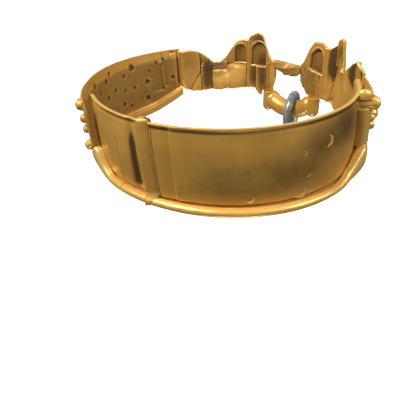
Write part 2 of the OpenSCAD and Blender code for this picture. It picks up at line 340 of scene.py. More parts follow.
def flat_ends(sections: int, points: int) -> Faces:
    """The two flat faces that close the ends of a loft."""
    last = (sections - 1) * points
    return [tuple(range(points)), tuple(reversed(range(last, last + points)))]


def sheet_loops(patch: Patch, arc: Sequence[float] = (20, 50, 75)) -> tuple[Array, Array]:
    """Turns a patch into closed loops whose edges are round on all four sides.

    Args:
        patch: The sheet, whose grids end half a thickness inside its edges.
        arc: Angles of the extra points round half an edge.

    Returns:
        The loops, as sections by points by three, and at each point the value for rubbing, tarnishing,
        painted light and painted shade.
    """
    outer = place(patch.angle, patch.outer, patch.height)
    inner = place(patch.angle, patch.inner, patch.height)

    def round_edge(row: int, beside: int) -> Array:
        """Points from the outer face round to the inner one past one long edge."""
        middle = (outer[:, row] + inner[:, row]) / 2
        half = (outer[:, row] - inner[:, row]) / 2
        out = outer[:, row] - outer[:, beside]
        out /= np.linalg.norm(out, axis=-1, keepdims=True)
        reach = np.linalg.norm(half, axis=-1, keepdims=True)
        turns = np.radians([*arc, *(180 - a for a in reversed(arc))])
        return np.stack([middle + half * math.cos(turn) + out * reach * math.sin(turn) for turn in turns], 1)

    top, foot = round_edge(-1, -2), round_edge(0, 1)[:, ::-1]
    half = len(arc)
    loops = np.concatenate([foot[:, half:], outer, top, inner[:, ::-1], foot[:, :half]], 1)
    edge = np.full((len(outer), half), EDGE_WEAR)
    wear_and_light_loops = np.concatenate([edge, patch.wear, edge, edge, patch.wear_and_painted_light_inner[:, ::-1], edge], 1)

    def close(end: int, beside: int) -> list[Array]:
        """Loops that shrink to the middle of the sheet past one of its ends."""
        folded = (loops[end] + loops[end][::-1]) / 2
        away = loops[end] - loops[beside]
        away /= np.maximum(np.linalg.norm(away, axis=-1, keepdims=True), LEAST_LENGTH)
        reach = np.linalg.norm(loops[end] - folded, axis=-1, keepdims=True)
        return [folded + (loops[end] - folded) * math.cos(turn) + away * reach * math.sin(turn)
                for turn in np.radians(arc)]

    first, last = close(0, 1)[::-1], close(-1, -2)
    all_loops = np.concatenate([np.array(first), loops, np.array(last)])
    ends = np.full((half, loops.shape[1]), EDGE_WEAR)
    return all_loops, np.concatenate([ends, wear_and_light_loops, ends])


def make_mesh(name: str, points: Array, faces: Faces, wear: Array, smooth_below: float) -> bpy.types.Object:
    """Makes an object of a closed mesh in millimetres.

    Args:
        name: The piece's name.
        points: The points, with a last axis of three.
        faces: The faces as point numbers.
        wear: How far each point is rubbed bright and painted light (over 0), or tarnished and
            painted shade (under 0).
        smooth_below: The angle between two faces above which their edge stays sharp, or 0 for flat faces.

    Returns:
        The new object, linked to the scene.
    """
    mesh = bpy.data.meshes.new(name)
    mesh.from_pydata((points.reshape(-1, 3) * MM).tolist(), [], faces)
    mesh.update()
    worn = mesh.attributes.new("wear", "FLOAT", "POINT")
    worn.data.foreach_set("value", wear.ravel().astype(np.float32))
    if smooth_below > 0:
        mesh.shade_smooth()
        mesh.set_sharp_from_angle(angle=math.radians(smooth_below))
    made = bpy.data.objects.new(name, mesh)
    bpy.context.scene.collection.objects.link(made)
    return made


# Finishes


def linear(colour: Colour) -> tuple[float, float, float, float]:
    """A screen colour as the linear colour that a shader takes."""
    return (*(c / 12.92 if c <= 0.04045 else ((c + 0.055) / 1.055) ** 2.4 for c in colour), 1.0)


class Expr:
    """A shader socket whose arithmetic adds Math nodes."""

    def __init__(self, look: "Look", socket: bpy.types.NodeSocket) -> None:
        """Wraps a socket of a look.

        Args:
            look: The look that the socket belongs to.
            socket: The output socket.
        """
        self.look = look
        self.socket = socket

    def _math(self, operation: str, *values: "Expr | float") -> "Expr":
        """A Math node on values."""
        return self.look.node("ShaderNodeMath", {"operation": operation}, dict(enumerate(values)))

    def __add__(self, other: "Expr | float") -> "Expr":
        """The sum."""
        return self._math("ADD", self, other)

    __radd__ = __add__

    def __sub__(self, other: "Expr | float") -> "Expr":
        """The difference."""
        return self._math("SUBTRACT", self, other)

    def __rsub__(self, other: float) -> "Expr":
        """The difference from a number."""
        return self._math("SUBTRACT", other, self)

    def __mul__(self, other: "Expr | float") -> "Expr":
        """The product."""
        return self._math("MULTIPLY", self, other)

    __rmul__ = __mul__

    def __neg__(self) -> "Expr":
        """The value with its sign turned."""
        return self._math("MULTIPLY", self, -1.0)

    def above(self, low: float, high: float) -> "Expr":
        """Rises smoothly from 0 at low to 1 at high."""
        return self.look.node("ShaderNodeMapRange", {"interpolation_type": "SMOOTHSTEP"},
                              {"Value": self, "From Min": low, "From Max": high})


class Look:
    """A tree of nodes that are made one call at a time."""

    def __init__(self, owner: bpy.types.Material | bpy.types.World) -> None:
        """Takes the empty tree of a material or of the surroundings.

        Args:
            owner: What the tree belongs to.
        """
        owner.use_nodes = True
        self.owner = owner
        self.tree = owner.node_tree
        self.tree.nodes.clear()

    def node(self, kind: str, settings: dict | None = None, inputs: dict | None = None,
             outlet: int | str = 0) -> Expr:
        """Adds a node.

        Args:
            kind: The node's type.
            settings: Its settings, set before its sockets; stops is a ramp's list of place and linear colour.
            inputs: Values or links by the socket's name or number.
            outlet: Which output to hand on.

        Returns:
            The chosen output.
        """
        made = self.tree.nodes.new(kind)
        for key, value in (settings or {}).items():
            if key == "stops":
                while len(made.color_ramp.elements) < len(value):
                    made.color_ramp.elements.new(0.5)
                for element, (position, colour) in zip(made.color_ramp.elements, value):
                    element.position, element.color = position, colour
            else:
                setattr(made, key, value)
        for key, value in (inputs or {}).items():
            if isinstance(value, Expr):
                self.tree.links.new(value.socket, made.inputs[key])
            else:
                made.inputs[key].default_value = value
        return Expr(self, made.outputs[outlet] if made.outputs else None)

    def noise(self, where: Expr, scale: float, detail: float = 2.0, roughness: float = 0.5) -> Expr:
        """Cloudy noise from about 0 to 1."""
        return self.node("ShaderNodeTexNoise", {}, {"Vector": where, "Scale": scale, "Detail": detail,
                                                    "Roughness": roughness})

    def stretched(self, where: Expr, scale: tuple[float, float, float]) -> Expr:
        """Coordinates stretched along the axes."""
        return self.node("ShaderNodeVectorMath", {"operation": "MULTIPLY"}, {0: where, 1: scale})

    def mixed(self, share: Expr | float, first: "Expr | Sequence", second: "Expr | Sequence") -> Expr:
        """A colour between two colours."""
        return self.node("ShaderNodeMix", {"data_type": "RGBA"}, {0: share, 6: first, 7: second}, 2)

    def bump(self, height: Expr, strength: float, distance: float, normal: Expr | None = None) -> Expr:
        """A bumpy normal."""
        inputs = {"Height": height, "Strength": strength, "Distance": distance}
        return self.node("ShaderNodeBump", {}, inputs if normal is None else {**inputs, "Normal": normal})

    def surface(self, inputs: dict) -> bpy.types.Material:
        """Ends the material in one principled surface.

        Args:
            inputs: The surface's values and links.

        Returns:
            The finished material.
        """
        shader = self.node("ShaderNodeBsdfPrincipled", {}, inputs)
        self.node("ShaderNodeOutputMaterial", {}, {"Surface": shader})
        return self.owner


@dataclass(frozen=True)
class GoldFinish:
    """Satin cast metal with a gold finish: tarnished in hollows, rubbed bright on ridges, painted light and
    shade.
    """

    name: str
    bright: Colour = (0.89, 0.68, 0.32)
    deep: Colour = (0.84, 0.63, 0.28)
    tarnish_and_shade: Colour = (0.40, 0.29, 0.13)
    polish_and_highlight: Colour = (0.95, 0.77, 0.42)
    # How fully the rubbed-bright colour covers the gold, where it is rubbed and where light is painted
    shine: float = 0.75
    metallic: float = 0.3
    roughness: float = 0.36
    grain: float = 0.25
    grain_depth: float = 0.00012
    cloud_scale: float = 55.0
    stain_scale: float = 275.0
    grain_scale: float = 1900.0
    pit_scale: float = 665.0
    scratch_stretch: tuple[float, float, float] = (60.0, 60.0, 5200.0)
    # How full the dark colour is on tarnished gold and painted shade, what spots add, and how full spots are
    # elsewhere
    grime_and_shade_parts: tuple[float, float, float] = (0.92, 0.12, 0.1)
    # How far the clouds, the scratches and the hollows roughen the metal, and how far the polish smooths it
    rough_parts: tuple[float, float, float, float] = (0.14, 0.12, 0.22, 0.08)
    # The shares of the grain, the pits and the scratches in the bumps
    bump_parts: tuple[float, float, float] = (0.55, 0.8, 0.2)

    def build(self) -> bpy.types.Material:
        """Makes the material.

        Returns:
            The finished material.
        """
        look = Look(bpy.data.materials.new(self.name))
        where = look.node("ShaderNodeTexCoord", outlet="Object")
        wear = look.node("ShaderNodeAttribute", {"attribute_name": "wear"}, outlet="Fac")
        # Under 0 the value stands for tarnished hollows and painted shade, which both get the dark colour
        hollow = (-wear).above(0.02, 0.95)
        # Over 0 the value stands for rubbed ridges and painted light, which both get the lighter colour
        polish_and_light_mask = wear.above(0.05, 0.9)
        cloud = look.noise(where, self.cloud_scale, detail=4.0, roughness=0.6)
        stain_and_shade = look.noise(where, self.stain_scale, detail=5.0, roughness=0.65)
        grain = look.noise(where, self.grain_scale, detail=3.0, roughness=0.6)
        pits = look.noise(where, self.pit_scale)
        scratches = look.noise(look.stretched(where, self.scratch_stretch), 1.0, roughness=0.6)
        colour = look.mixed(cloud.above(0.3, 0.7), linear(self.deep), linear(self.bright))
        full, more, spotted = self.grime_and_shade_parts
        grime_and_shade = hollow * (full + more * stain_and_shade.above(0.3, 0.7)) + spotted * stain_and_shade.above(0.56, 0.8)
        colour = look.mixed(grime_and_shade.above(0.0, 1.0), colour, linear(self.tarnish_and_shade))
        colour = look.mixed(polish_and_light_mask * self.shine, colour, linear(self.polish_and_highlight))
        clouded, scratched, hollowed, smoothed = self.rough_parts
        rough = self.roughness + clouded * (cloud - 0.5) + scratched * (scratches - 0.5)
        rough = rough + hollowed * hollow - smoothed * polish_and_light_mask
        grainy, pitted, scratchy = self.bump_parts
        height = grainy * grain + pitted * pits.above(0.25, 0.5) + scratchy * scratches
        normal = look.bump(height, self.grain, self.grain_depth)
        return look.surface({"Base Color": colour, "Metallic": self.metallic, "Roughness": rough,
                             "Normal": normal})


@dataclass(frozen=True)
class SteelFinish:
    """Plain drawn wire of grey steel."""

    name: str = "steel"
    bright: Colour = (0.74, 0.76, 0.77)
    dark: Colour = (0.54, 0.57, 0.59)
    metallic: float = 0.3
    roughness: float = 0.3
    grain: float = 0.25
    grain_depth: float = 0.00008
    cloud_scale: float = 260.0
    line_stretch: tuple[float, float, float] = (2400.0, 300.0, 300.0)
    # How far the clouds and the drawn lines change the roughness
    rough_parts: tuple[float, float] = (0.16, 0.1)

    def build(self) -> bpy.types.Material:
        """Makes the material.

        Returns:
            The finished material.
        """
        look = Look(bpy.data.materials.new(self.name))
        where = look.node("ShaderNodeTexCoord", outlet="Object")
        cloud = look.noise(where, self.cloud_scale, detail=4.0, roughness=0.6)
        lines = look.noise(look.stretched(where, self.line_stretch), 1.0, roughness=0.6)
        colour = look.mixed(cloud.above(0.35, 0.7), linear(self.dark), linear(self.bright))
        clouded, lined = self.rough_parts
        rough = self.roughness + clouded * (cloud - 0.5) + lined * (lines - 0.5)
        normal = look.bump(lines, self.grain, self.grain_depth)
        return look.surface({"Base Color": colour, "Metallic": self.metallic, "Roughness": rough,
                             "Normal": normal})


@dataclass(frozen=True)
class FloorFinish:
    """Pale matt paper."""

    name: str = "floor_paper"
    pale: Colour = (0.985, 0.985, 0.98)
    white: Colour = (1.0, 1.0, 1.0)
    fibre_scale: float = 40.0
    roughness: float = 0.95
    gloss: float = 0.1
    glow: float = 1.0

    def build(self) -> bpy.types.Material:
        """Makes the material.

        Returns:
            The finished material.
        """
        look = Look(bpy.data.materials.new(self.name))
        where = look.node("ShaderNodeTexCoord", outlet="Object")
        fibre = look.noise(where, self.fibre_scale, detail=3.0, roughness=0.6)
        colour = look.mixed(fibre, linear(self.pale), linear(self.white))
        return look.surface({"Base Color": colour, "Roughness": self.roughness,
                             "Specular IOR Level": self.gloss, "Emission Color": linear(self.white),
                             "Emission Strength": self.glow})


# Pieces


@dataclass
class Workshop:
    """What every sub-assembly needs: the band, the finishes and the list of what was made."""

    band: Band
    gold: bpy.types.Material
    steel: bpy.types.Material
    made: list[str] = field(default_factory=list)

    def finish(self, slot: Slot) -> bpy.types.Material:
        """The finish of one of the record's slots."""
        return self.gold if slot is Slot.GOLD else self.steel

    def deliver(self, piece: bpy.types.Object, body: Body, slot: Slot, *nodes: str) -> None:
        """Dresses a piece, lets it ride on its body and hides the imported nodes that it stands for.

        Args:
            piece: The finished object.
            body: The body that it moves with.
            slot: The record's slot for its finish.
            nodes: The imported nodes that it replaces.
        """
        piece.data.materials.append(self.finish(slot))
        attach(piece, body.value)
        if nodes:
            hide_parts(*nodes)
        self.report(piece)

    def sheet(self, node: str, ending: str, patch: Patch, smooth_below: float = SHARP_EDGE) -> None:
        """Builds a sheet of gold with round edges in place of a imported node.

        Args:
            node: The node.
            ending: What the piece's name adds to the node's.
            patch: The sheet.
            smooth_below: The angle between two faces above which their edge stays sharp.
        """
        loops, worn = sheet_loops(patch)
        size = loops.shape[:2]
        faces = loft_faces(*size) + folded_ends(*size)
        made = make_mesh(f"{node}_{ending}", loops, faces, worn, smooth_below)
        self.deliver(made, Body.COLLAR, Slot.GOLD, node)

    def dress(self, node: str, slot: Slot) -> None:
        """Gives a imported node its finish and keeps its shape."""
        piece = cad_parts[node]
        piece.data.materials.clear()
        piece.data.materials.append(self.finish(slot))
        piece.data.shade_smooth()
        piece.data.set_sharp_from_angle(angle=math.radians(SHARP_EDGE))
        self.report(piece)

    def report(self, piece: bpy.types.Object) -> None:
        """Logs a piece and how many faces it has."""
        self.made.append(piece.name)
        log.info("%s: %d faces", piece.name, len(piece.data.polygons))


def steps(first: float, last: float, step: float, fine: Rows = ()) -> Array:
    """Rising angles or heights from first to last, closer together round some of them.

    Args:
        first: The first value.
        last: The last value, which is higher.
        step: The widest step.
        fine: Places with a finer step, as middle, half width and step.

    Returns:
        The rising values.
    """
    found = [np.linspace(first, last, max(2, math.ceil((last - first) / step) + 1))]
    for middle, half, finer in fine:
        found.append(np.arange(max(first, middle - half), min(last, middle + half), finer))
    rising = np.unique(np.round(np.concatenate(found), 4))
    keep = np.concatenate([[True], np.diff(rising) > LEAST_STEP])
    return rising[keep]


@dataclass
class BackPanels:
    """The plain conical back, in two panels that meet at the closure."""

    shop: Workshop
    left_end: float = 147.0
    right_end: float = -62.0
    # How far each panel reaches in under the rib, as an angle
    tuck: float = 0.5
    angle_step: float = 0.5
    height_step: float = 0.42
    # How far the panels' foot reaches down into the ledge, and how wavy the sheet is
    foot_lap: float = 0.4
    waves: Waves = Waves(11, 0.06, (9.0, 8.0), (40.0, 9.0), 2)
    # The stretches at the foot and at the top whose rows are closer: half the height, step
    fine_rows: Pairs = ((0.9, 0.16), (1.4, 0.12))
    dent_angle: float = -176.0
    dent_depth: float = 1.3
    # Two heights, and the width of the dent's steep side at each
    dent_heights: tuple[float, float] = (4.0, 31.0)
    dent_fall: tuple[float, float] = (4.3, 2.8)
    # Width of its gentle side, and the heights over which it gets deeper under its top and over its foot
    dent_rise: float = 4.6
    dent_top: tuple[float, float] = (32.0, 22.0)
    dent_foot: tuple[float, float] = (4.0, 8.5)
    # The crack's angle and height at its foot and at its top, its half width and depth
    crack: Pairs = ((-185.3, 3.4), (-187.0, 28.9))
    crack_half: float = 0.2
    crack_depth: float = 0.7
    # How far it sways, as an angle, how fast it does so on its way up, and how long its end at the top is
    crack_sway: tuple[float, float] = (0.1, 0.9)
    crack_end: float = 5.0
    ridge_angle: float = -156.7
    # Widths of the ridge's steep and gentle side, and how far it stands out
    ridge_sides: tuple[float, float] = (1.1, 7.0)
    ridge_proud: float = 0.4
    lap_proud: float = 0.55
    lip_proud: float = 0.55
    # Below the top: where the lip starts and is full; the groove under it as depth, middle and half width
    lip_reach: tuple[float, float] = (1.5, 0.6)
    lip_groove: tuple[float, float, float] = (0.14, 1.8, 1.2)
    crease: float = 0.55
    # Where the crease ends and is full, over the ledge
    crease_reach: tuple[float, float] = (1.6, 0.5)
    # How much painted shade darkens the dent's steep side, the lap and the seam beside the rib
    painted_shades: tuple[float, float, float] = (0.7, 0.2, 0.9)
    # The dent's painted shade: shares of its steep side where it starts and is full, angles past its middle
    # where it ends and is full, and the heights where it ends and is full at its top and at its foot
    dent_shade_start: tuple[float, float] = (-1.4, -0.4)
    dent_shade_end: tuple[float, float] = (1.5, -1.0)
    dent_shade_top: tuple[float, float] = (32.0, 24.0)
    dent_shade_foot: tuple[float, float] = (4.0, 8.0)
    # The angle over which the lap's painted shade grows, and where the seam's painted shade ends and is full
    # beside the rib
    lap_fade: float = 1.5
    seam_reach: tuple[float, float] = (0.6, 0.2)
    # A crescent's shift, slope and the two rings round its outer edge, as shares of its radius
    crescent_shares: tuple[float, float, float, float] = (0.52, 0.6, 1.06, 0.97)
    # Crescent marks: angle and height of the circle's middle, radius, turn of the thick side, stand
    crescents: Fives = (
        (-100.8, 24.7, 2.2, 22.0, 0.5), (-110.4, 22.9, 0.9, 5.0, 0.3), (-108.6, 14.2, 0.9, 45.0, 0.45),
        (-111.4, 7.6, 2.6, 48.0, 0.9), (-129.1, 7.9, 1.6, 68.0, 0.7))
    # Patches of painted shade: angle, height, half sizes in both, amount
    painted_light_and_shade: Fives = (
        (-140.0, 9.0, 18.0, 6.0, -0.16), (-127.0, 16.0, 17.0, 8.0, -0.26), (-112.0, 22.0, 15.0, 9.0, -0.32),
        (-97.0, 28.0, 14.0, 9.0, -0.42), (-84.0, 27.0, 12.0, 12.0, -0.42), (-100.0, 10.0, 24.0, 9.0, -0.34),
        (-145.0, 22.0, 14.0, 13.0, -0.34))

    def crescent(self, angle: Array, height: Array, row: Sequence[float]) -> Array:
        """How far one crescent mark stands out, which is most at its outer edge."""
        middle, level, radius, turn, stand = row
        across = (angle - middle) * np.radians(self.shop.band.plan(np.array(middle)))
        up = height - level
        shift, slope, outside, inside = (share * radius for share in self.crescent_shares)
        sideways, upwards = shift * math.cos(math.radians(turn)), shift * math.sin(math.radians(turn))
        rising = np.clip((np.hypot(across + sideways, up - upwards) - radius) / slope, 0.0, 1.0)
        return stand * rising * ramp(np.hypot(across, up), outside, inside)

    def relief(self, angle: Array, height: Array) -> Array:
        """How far the outside stands out of the plain back, with angles that run below -180 on the left."""
        band = self.shop.band
        past = angle - self.dent_angle
        fall = np.interp(height, self.dent_heights, self.dent_fall)
        trough = np.where(past < 0, ramp(past, -fall, 0.0), ramp(past, self.dent_rise, 0.0))
        deeper = 0.5 + 0.5 * ramp(height, *self.dent_top)
        total = -self.dent_depth * trough * deeper * ramp(height, *self.dent_foot)
        (foot_angle, foot), (top_angle, top) = self.crack
        sway, pace = self.crack_sway
        path = np.interp(height, [foot, top], [foot_angle, top_angle]) + sway * np.sin(height * pace)
        offset = np.abs(angle - path) * np.radians(band.half_d)
        ending = ramp(height, top, top - self.crack_end)
        total -= self.crack_depth * ramp(offset, self.crack_half, 0.0) * ending
        beside = angle - self.ridge_angle
        steep, gentle = self.ridge_sides
        total += self.ridge_proud * np.where(beside < 0, ramp(beside, -steep, 0.0), ramp(beside, gentle, 0.0))
        lap = np.clip(beside / (band.rib_angle - self.ridge_angle), 0.0, 1.0)
        total += self.lap_proud * lap * (angle > band.rib_angle)
        below = band.height - height
        groove, level, half = self.lip_groove
        total += self.lip_proud * ramp(below, *self.lip_reach) - groove * hump(below - level, half)
        end, full = self.crease_reach
        total -= self.crease * ramp(height, band.ledge + end, band.ledge + full)
        return total + sum(self.crescent(angle, height, row) for row in self.crescents)

    def stain_and_shade(self, angle: Array, height: Array) -> Array:
        """The painted shade on the dent's steep side, the lap, the seam beside the rib and the patches, as
        values under 0.
        """
        band = self.shop.band
        past = angle - self.dent_angle
        fall = np.interp(height, self.dent_heights, self.dent_fall)
        start, full = self.dent_shade_start
        steep = ramp(past, start * fall, full * fall) * ramp(past, *self.dent_shade_end)
        steep = steep * ramp(height, *self.dent_shade_top) * ramp(height, *self.dent_shade_foot)
        lap = ramp(angle, self.ridge_angle, self.ridge_angle - self.lap_fade) * (angle > band.rib_angle)
        edge = band.rib_angle + band.rib_span / 2
        end, full = self.seam_reach
        seam = ramp(angle, edge + end, edge + full) * (angle > band.rib_angle)
        shaded = sum(amount * part for amount, part in zip(self.painted_shades, (steep, lap, seam)))
        return painted_light_patches(self.painted_light_and_shade, angle, height) - shaded

    def panel(self, name: str, first: float, last: float, fine: Rows) -> None:
        """Builds one panel.

        Args:
            name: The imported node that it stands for.
            first: Its first angle.
            last: Its last angle, which is higher.
            fine: Where its points are closer together.
        """
        band = self.shop.band
        half = band.sheet / 2
        inset = math.degrees(half / band.half_d)
        along = steps(first + inset, last - inset, self.angle_step, fine)
        foot, top = band.ledge + band.seat + half - self.foot_lap, band.height - half
        (low, low_step), (high, high_step) = self.fine_rows
        closer = ((foot + low, low, low_step), (top - high, high, high_step))
        rows = steps(foot, top, self.height_step, closer)
        angle, height = np.meshgrid(along, rows, indexing="ij")
        wavy = self.waves.at(angle, height)
        relief = self.relief(angle, height)
        base = band.back(angle, height)
        soft = blurred(relief, 8)
        below = band.height - height
        wear = np.clip(2.2 * (relief - soft), -1, 1) * (1.0 - 0.6 * ramp(below, 2.1, 1.1))
        # Painted shade in a band under the top lip, and along the foot where it meets the ledge
        wear -= 0.35 * ramp(below, 2.7, 1.7) * ramp(below, 0.2, 0.6)
        wear -= 0.5 * ramp(height, band.ledge + 2.2, band.ledge)
        # The crescent marks get a painted highlight at full strength; the rest gets the painted shade patches
        # and bands
        marked = sum(self.crescent(angle, height, row) for row in self.crescents)
        wear = np.where(marked > 0.03, 1.0, wear + self.stain_and_shade(angle, height))
        patch = Patch(band.leaned(angle, height), height, base + relief + wavy,
                      base - band.sheet + 0.5 * soft + wavy, wear, 0.0 * wear)
        self.shop.sheet(name, "sheet", patch)

    def build(self) -> None:
        """Builds both panels, with closer points at the crack, the ridge and the marks."""
        band = self.shop.band
        half = band.rib_span / 2 - self.tuck
        crack = (self.crack[0][0] + self.crack[1][0]) / 2
        marks = [(row[0], 1.2 * row[2], 0.11) for row in self.crescents]
        self.panel("back_panel_left", self.left_end - FULL_TURN, band.rib_angle - half, [(crack, 1.4, 0.055)])
        marks.append((self.ridge_angle, 3.0, 0.2))
        self.panel("back_panel_right", band.rib_angle + half, self.right_end, marks)


@dataclass
class ClosureRib:
    """The wedge-shaped rib that covers the closure's seam."""

    shop: Workshop
    proud: float = 1.6
    depth: float = 1.2
    # The widest step between two levels, and where they are closer: middle, half width, step
    level_step: float = 0.6
    level_fine: Triples = ((2.6, 1.6, 0.2), (34.7, 0.7, 0.1))
    # From the foot up: height, share of the plan under the rib, share of its stand, its left and right edge
    rows: Fives = (
        (1.0, 1.030, 0.3, -0.9, -0.6), (1.4, 1.034, 0.6, -0.97, -0.42), (2.3, 1.034, 0.85, -1.0, 0.02),
        (3.9, 1.022, 1.0, -1.0, 0.68), (5.2, 0.999, 1.0, -1.0, 0.95), (6.6, 0.987, 1.0, -1.0, 1.0),
        (12, 0.986, 1.0, -1.0, 1.0), (20, 0.981, 1.0, -1.0, 1.0), (26, 0.972, 1.0, -1.0, 1.0),
        (31, 0.958, 1.0, -1.0, 1.0), (33.6, 0.953, 1.0, -1.0, 1.0), (34.6, 0.952, 0.9, -0.98, 0.97),
        (35.1, 0.951, 0.65, -0.9, 0.85), (35.35, 0.950, 0.35, -0.75, 0.6), (35.4, 0.949, 0.1, -0.5, 0.2))
    # Across the rib from its left edge: share of its width, share of its stand
    across: Pairs = (
        (0.0, 0.0), (0.015, 0.5), (0.05, 0.85), (0.1, 0.98), (0.18, 1.0), (0.4, 0.84), (0.65, 0.6),
        (0.85, 0.4), (0.93, 0.28), (0.975, 0.1), (1.0, -0.2))
    # Painted shade by the number of the point across the rib, darkest at its right edge
    tarnish_and_shade: Pairs = ((0, -0.3), (3, -0.2), (6, -0.3), (9, -0.5), (10, -0.9), (12, -0.3))

    def build(self) -> None:
        """Builds the rib as a loft from its foot to its top."""
        band = self.shop.band
        plan = band.plan(np.array(band.rib_angle))
        heights, *columns = np.array(self.rows).T
        levels = steps(heights[0], heights[-1], self.level_step, self.level_fine)
        spots, lift = np.array(self.across).T
        loops = []
        for level in levels:
            base, stand, left, right = (np.interp(level, heights, column) for column in columns)
            middle = band.leaned(np.array(band.rib_angle), level)
            turns = middle + (left + spots * (right - left)) * band.rib_span / 2
            face = place(turns, base * plan + self.proud * lift * stand, np.full(len(spots), level))
            under = place(turns[[-1, 0]], np.full(2, base * plan - self.depth), np.full(2, level))
            loops.append(np.concatenate([face, under]))
        loops = np.array(loops)
        size = loops.shape[:2]
        faces = [face[::-1] for face in loft_faces(*size) + flat_ends(*size)]
        wear = np.tile(np.interp(np.arange(size[1]), *zip(*self.tarnish_and_shade)), (size[0], 1))
        made = make_mesh("closure_rib_cast", loops, faces, wear, SHARP_CAST_EDGE)
        self.shop.deliver(made, Body.COLLAR, Slot.GOLD, "closure_rib")


@dataclass
class LowerRim:
    """The rolled ledge under the walls, in two runs with worn, uneven lower edges."""

    shop: Workshop
    left_first: float = 62.5
    right_first: float = -57.5
    rib_half: float = 3.2
    step: float = 0.6
    # How wavy the rim is where it doesn't rise, and the waves of its shape and of its wear
    waviness: float = 0.07
    waves: Waves = Waves(23, 1.0, (4.0, 7.0), (90.0, 0.0))
    wear_waves: Waves = Waves(23, 1.0, (2.0, 5.0), layers=2)
    # Points on the section for each of its rows, and the angle above which an edge of the rim stays sharp
    smooth: int = 4
    sharp_edge: float = 60.0
    # How far the right run's end beside the rib slopes, as an angle
    cut: float = 3.0
    # How far the right run reaches in under the rib
    tuck: float = 2.6
    # Middles of the two stretches where the rim rises, their half length and the step there
    rises: tuple[float, float] = (-81.0, -206.0)
    rise_half: float = 8.0
    rise_step: float = 0.25
    # The rim in section, from its inner lower corner round its outside: distance outside the plan, height
    section: Pairs = (
        (-2.2, 0.0), (-0.6, 0.0), (1.0, 0.9), (2.1, 1.9), (2.6, 2.8), (2.4, 3.8), (1.6, 4.5), (0.6, 4.7),
        (-0.4, 4.6), (-0.8, 4.1), (-2.4, 4.1), (-2.9, 3.7), (-2.9, 0.7))
    # How far the rim's underside is lifted: size of the angle, lift
    lift_left: Pairs = ((62, 8.4), (68, 5.1), (73, 3.0), (78, 1.2), (84, 0.3), (92, 0), (200, 0))
    lift_right: Pairs = ((57, 3.4), (60, 1.6), (64, 0.3), (69, 0), (200, 0))
    # Small nicks in the outer lower edge: angle, half width, depth
    nicks: Triples = (
        (-184.2, 1.1, 0.6), (-179.0, 0.9, 0.6), (-161.0, 1.3, 0.5), (-95.5, 1.2, 0.3), (-71.0, 1.6, 0.5),
        (96.0, 1.0, 0.3))
    # The crack's end, which runs over the rim: angle, half width, depth
    crack: tuple[float, float, float] = (-185.1, 0.16, 0.4)
    # Closer points: share of a nick's half width and step there, half width round the crack and step there
    nick_fine: tuple[float, float] = (1.5, 0.15)
    crack_fine: tuple[float, float] = (0.4, 0.05)
    # Where on the section each form starts and is full, by distance outside the plan or by height
    nick_out: tuple[float, float] = (-0.4, 1.0)
    nick_up: tuple[float, float] = (1.9, 0.2)
    crack_out: tuple[float, float] = (0.0, 2.0)
    crack_up: tuple[float, float] = (3.2, 4.2)
    spread_out: tuple[float, float] = (-0.8, -0.4)
    rise_out: tuple[float, float] = (-1.6, -0.4)
    # How far the rise draws the rim in, and where it does so
    draw: float = 0.5
    draw_out: tuple[float, float] = (1.2, -0.4)
    # Over which angle the slope of an end fades
    cut_reach: float = 6.0

    def curve(self) -> tuple[Array, Array]:
        """The smooth closed section.

        Returns:
            Distances outside the plan, and heights.
        """
        knots = np.array(self.section)
        before, after, beyond = np.roll(knots, 1, 0), np.roll(knots, -1, 0), np.roll(knots, -2, 0)
        points = []
        for share in np.arange(self.smooth) / self.smooth:
            slope = (after - before) * share
            bend = (2 * before - 5 * knots + 4 * after - beyond) * share**2
            twist = (3 * knots - before - 3 * after + beyond) * share**3
            points.append(0.5 * (2 * knots + slope + bend + twist))
        smooth = np.stack(points, 1).reshape(-1, 2)
        return smooth[:, 0], smooth[:, 1]

    def run(self, name: str, first: float, last: float, lift: Rows, cut: float) -> None:
        """Builds one run of the rim.

        Args:
            name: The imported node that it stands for.
            first: Its first angle.
            last: Its last angle, which is higher.
            lift: The table of its lift by the size of the angle.
            cut: How far its first end slopes, as an angle.
        """
        band = self.shop.band
        share, finer = self.nick_fine
        fine = [(spot, share * half, finer) for spot, half, _ in self.nicks]
        fine += [(middle, self.rise_half, self.rise_step) for middle in self.rises]
        fine.append((self.crack[0], *self.crack_fine))
        along = steps(first, last, self.step, fine)
        out, up = self.curve()
        size = np.abs(np.where(along < -180, along + FULL_TURN, along))
        raised = np.interp(size, *zip(*lift))
        angle, around = np.meshgrid(along, np.arange(len(out)), indexing="ij")
        wobble = self.waviness / band.rising(angle) * self.waves.at(angle, around)
        nicked = sum(deep * hump(angle - spot, half) for spot, half, deep in self.nicks)
        low = ramp(up, *self.nick_up) * ramp(out, *self.nick_out)
        split = self.crack[2] * hump(angle - self.crack[0], self.crack[1]) * ramp(up, *self.crack_up)
        wide = band.spread(angle, 0.0) * ramp(out, *self.spread_out)
        rising = 1.0 + (band.rising(angle) - 1.0) * ramp(out, *self.rise_out)
        wide = wide - self.draw * (rising - 1.0) * ramp(out, *self.draw_out)
        radius = band.plan(angle) + out + wide + wobble - nicked * low
        radius = radius - 0.7 * split * ramp(out, *self.crack_out)
        height = up * rising + raised[:, None] + 0.5 * wobble + nicked * low * 0.7 - split
        near = ramp(angle, first + self.cut_reach, first)
        turned = angle - cut * np.clip(1.0 - up / band.ledge, 0.0, 1.0) * near
        loops = place(band.leaned(turned, 0.0), radius, np.maximum(height, raised[:, None]))
        size = loops.shape[:2]
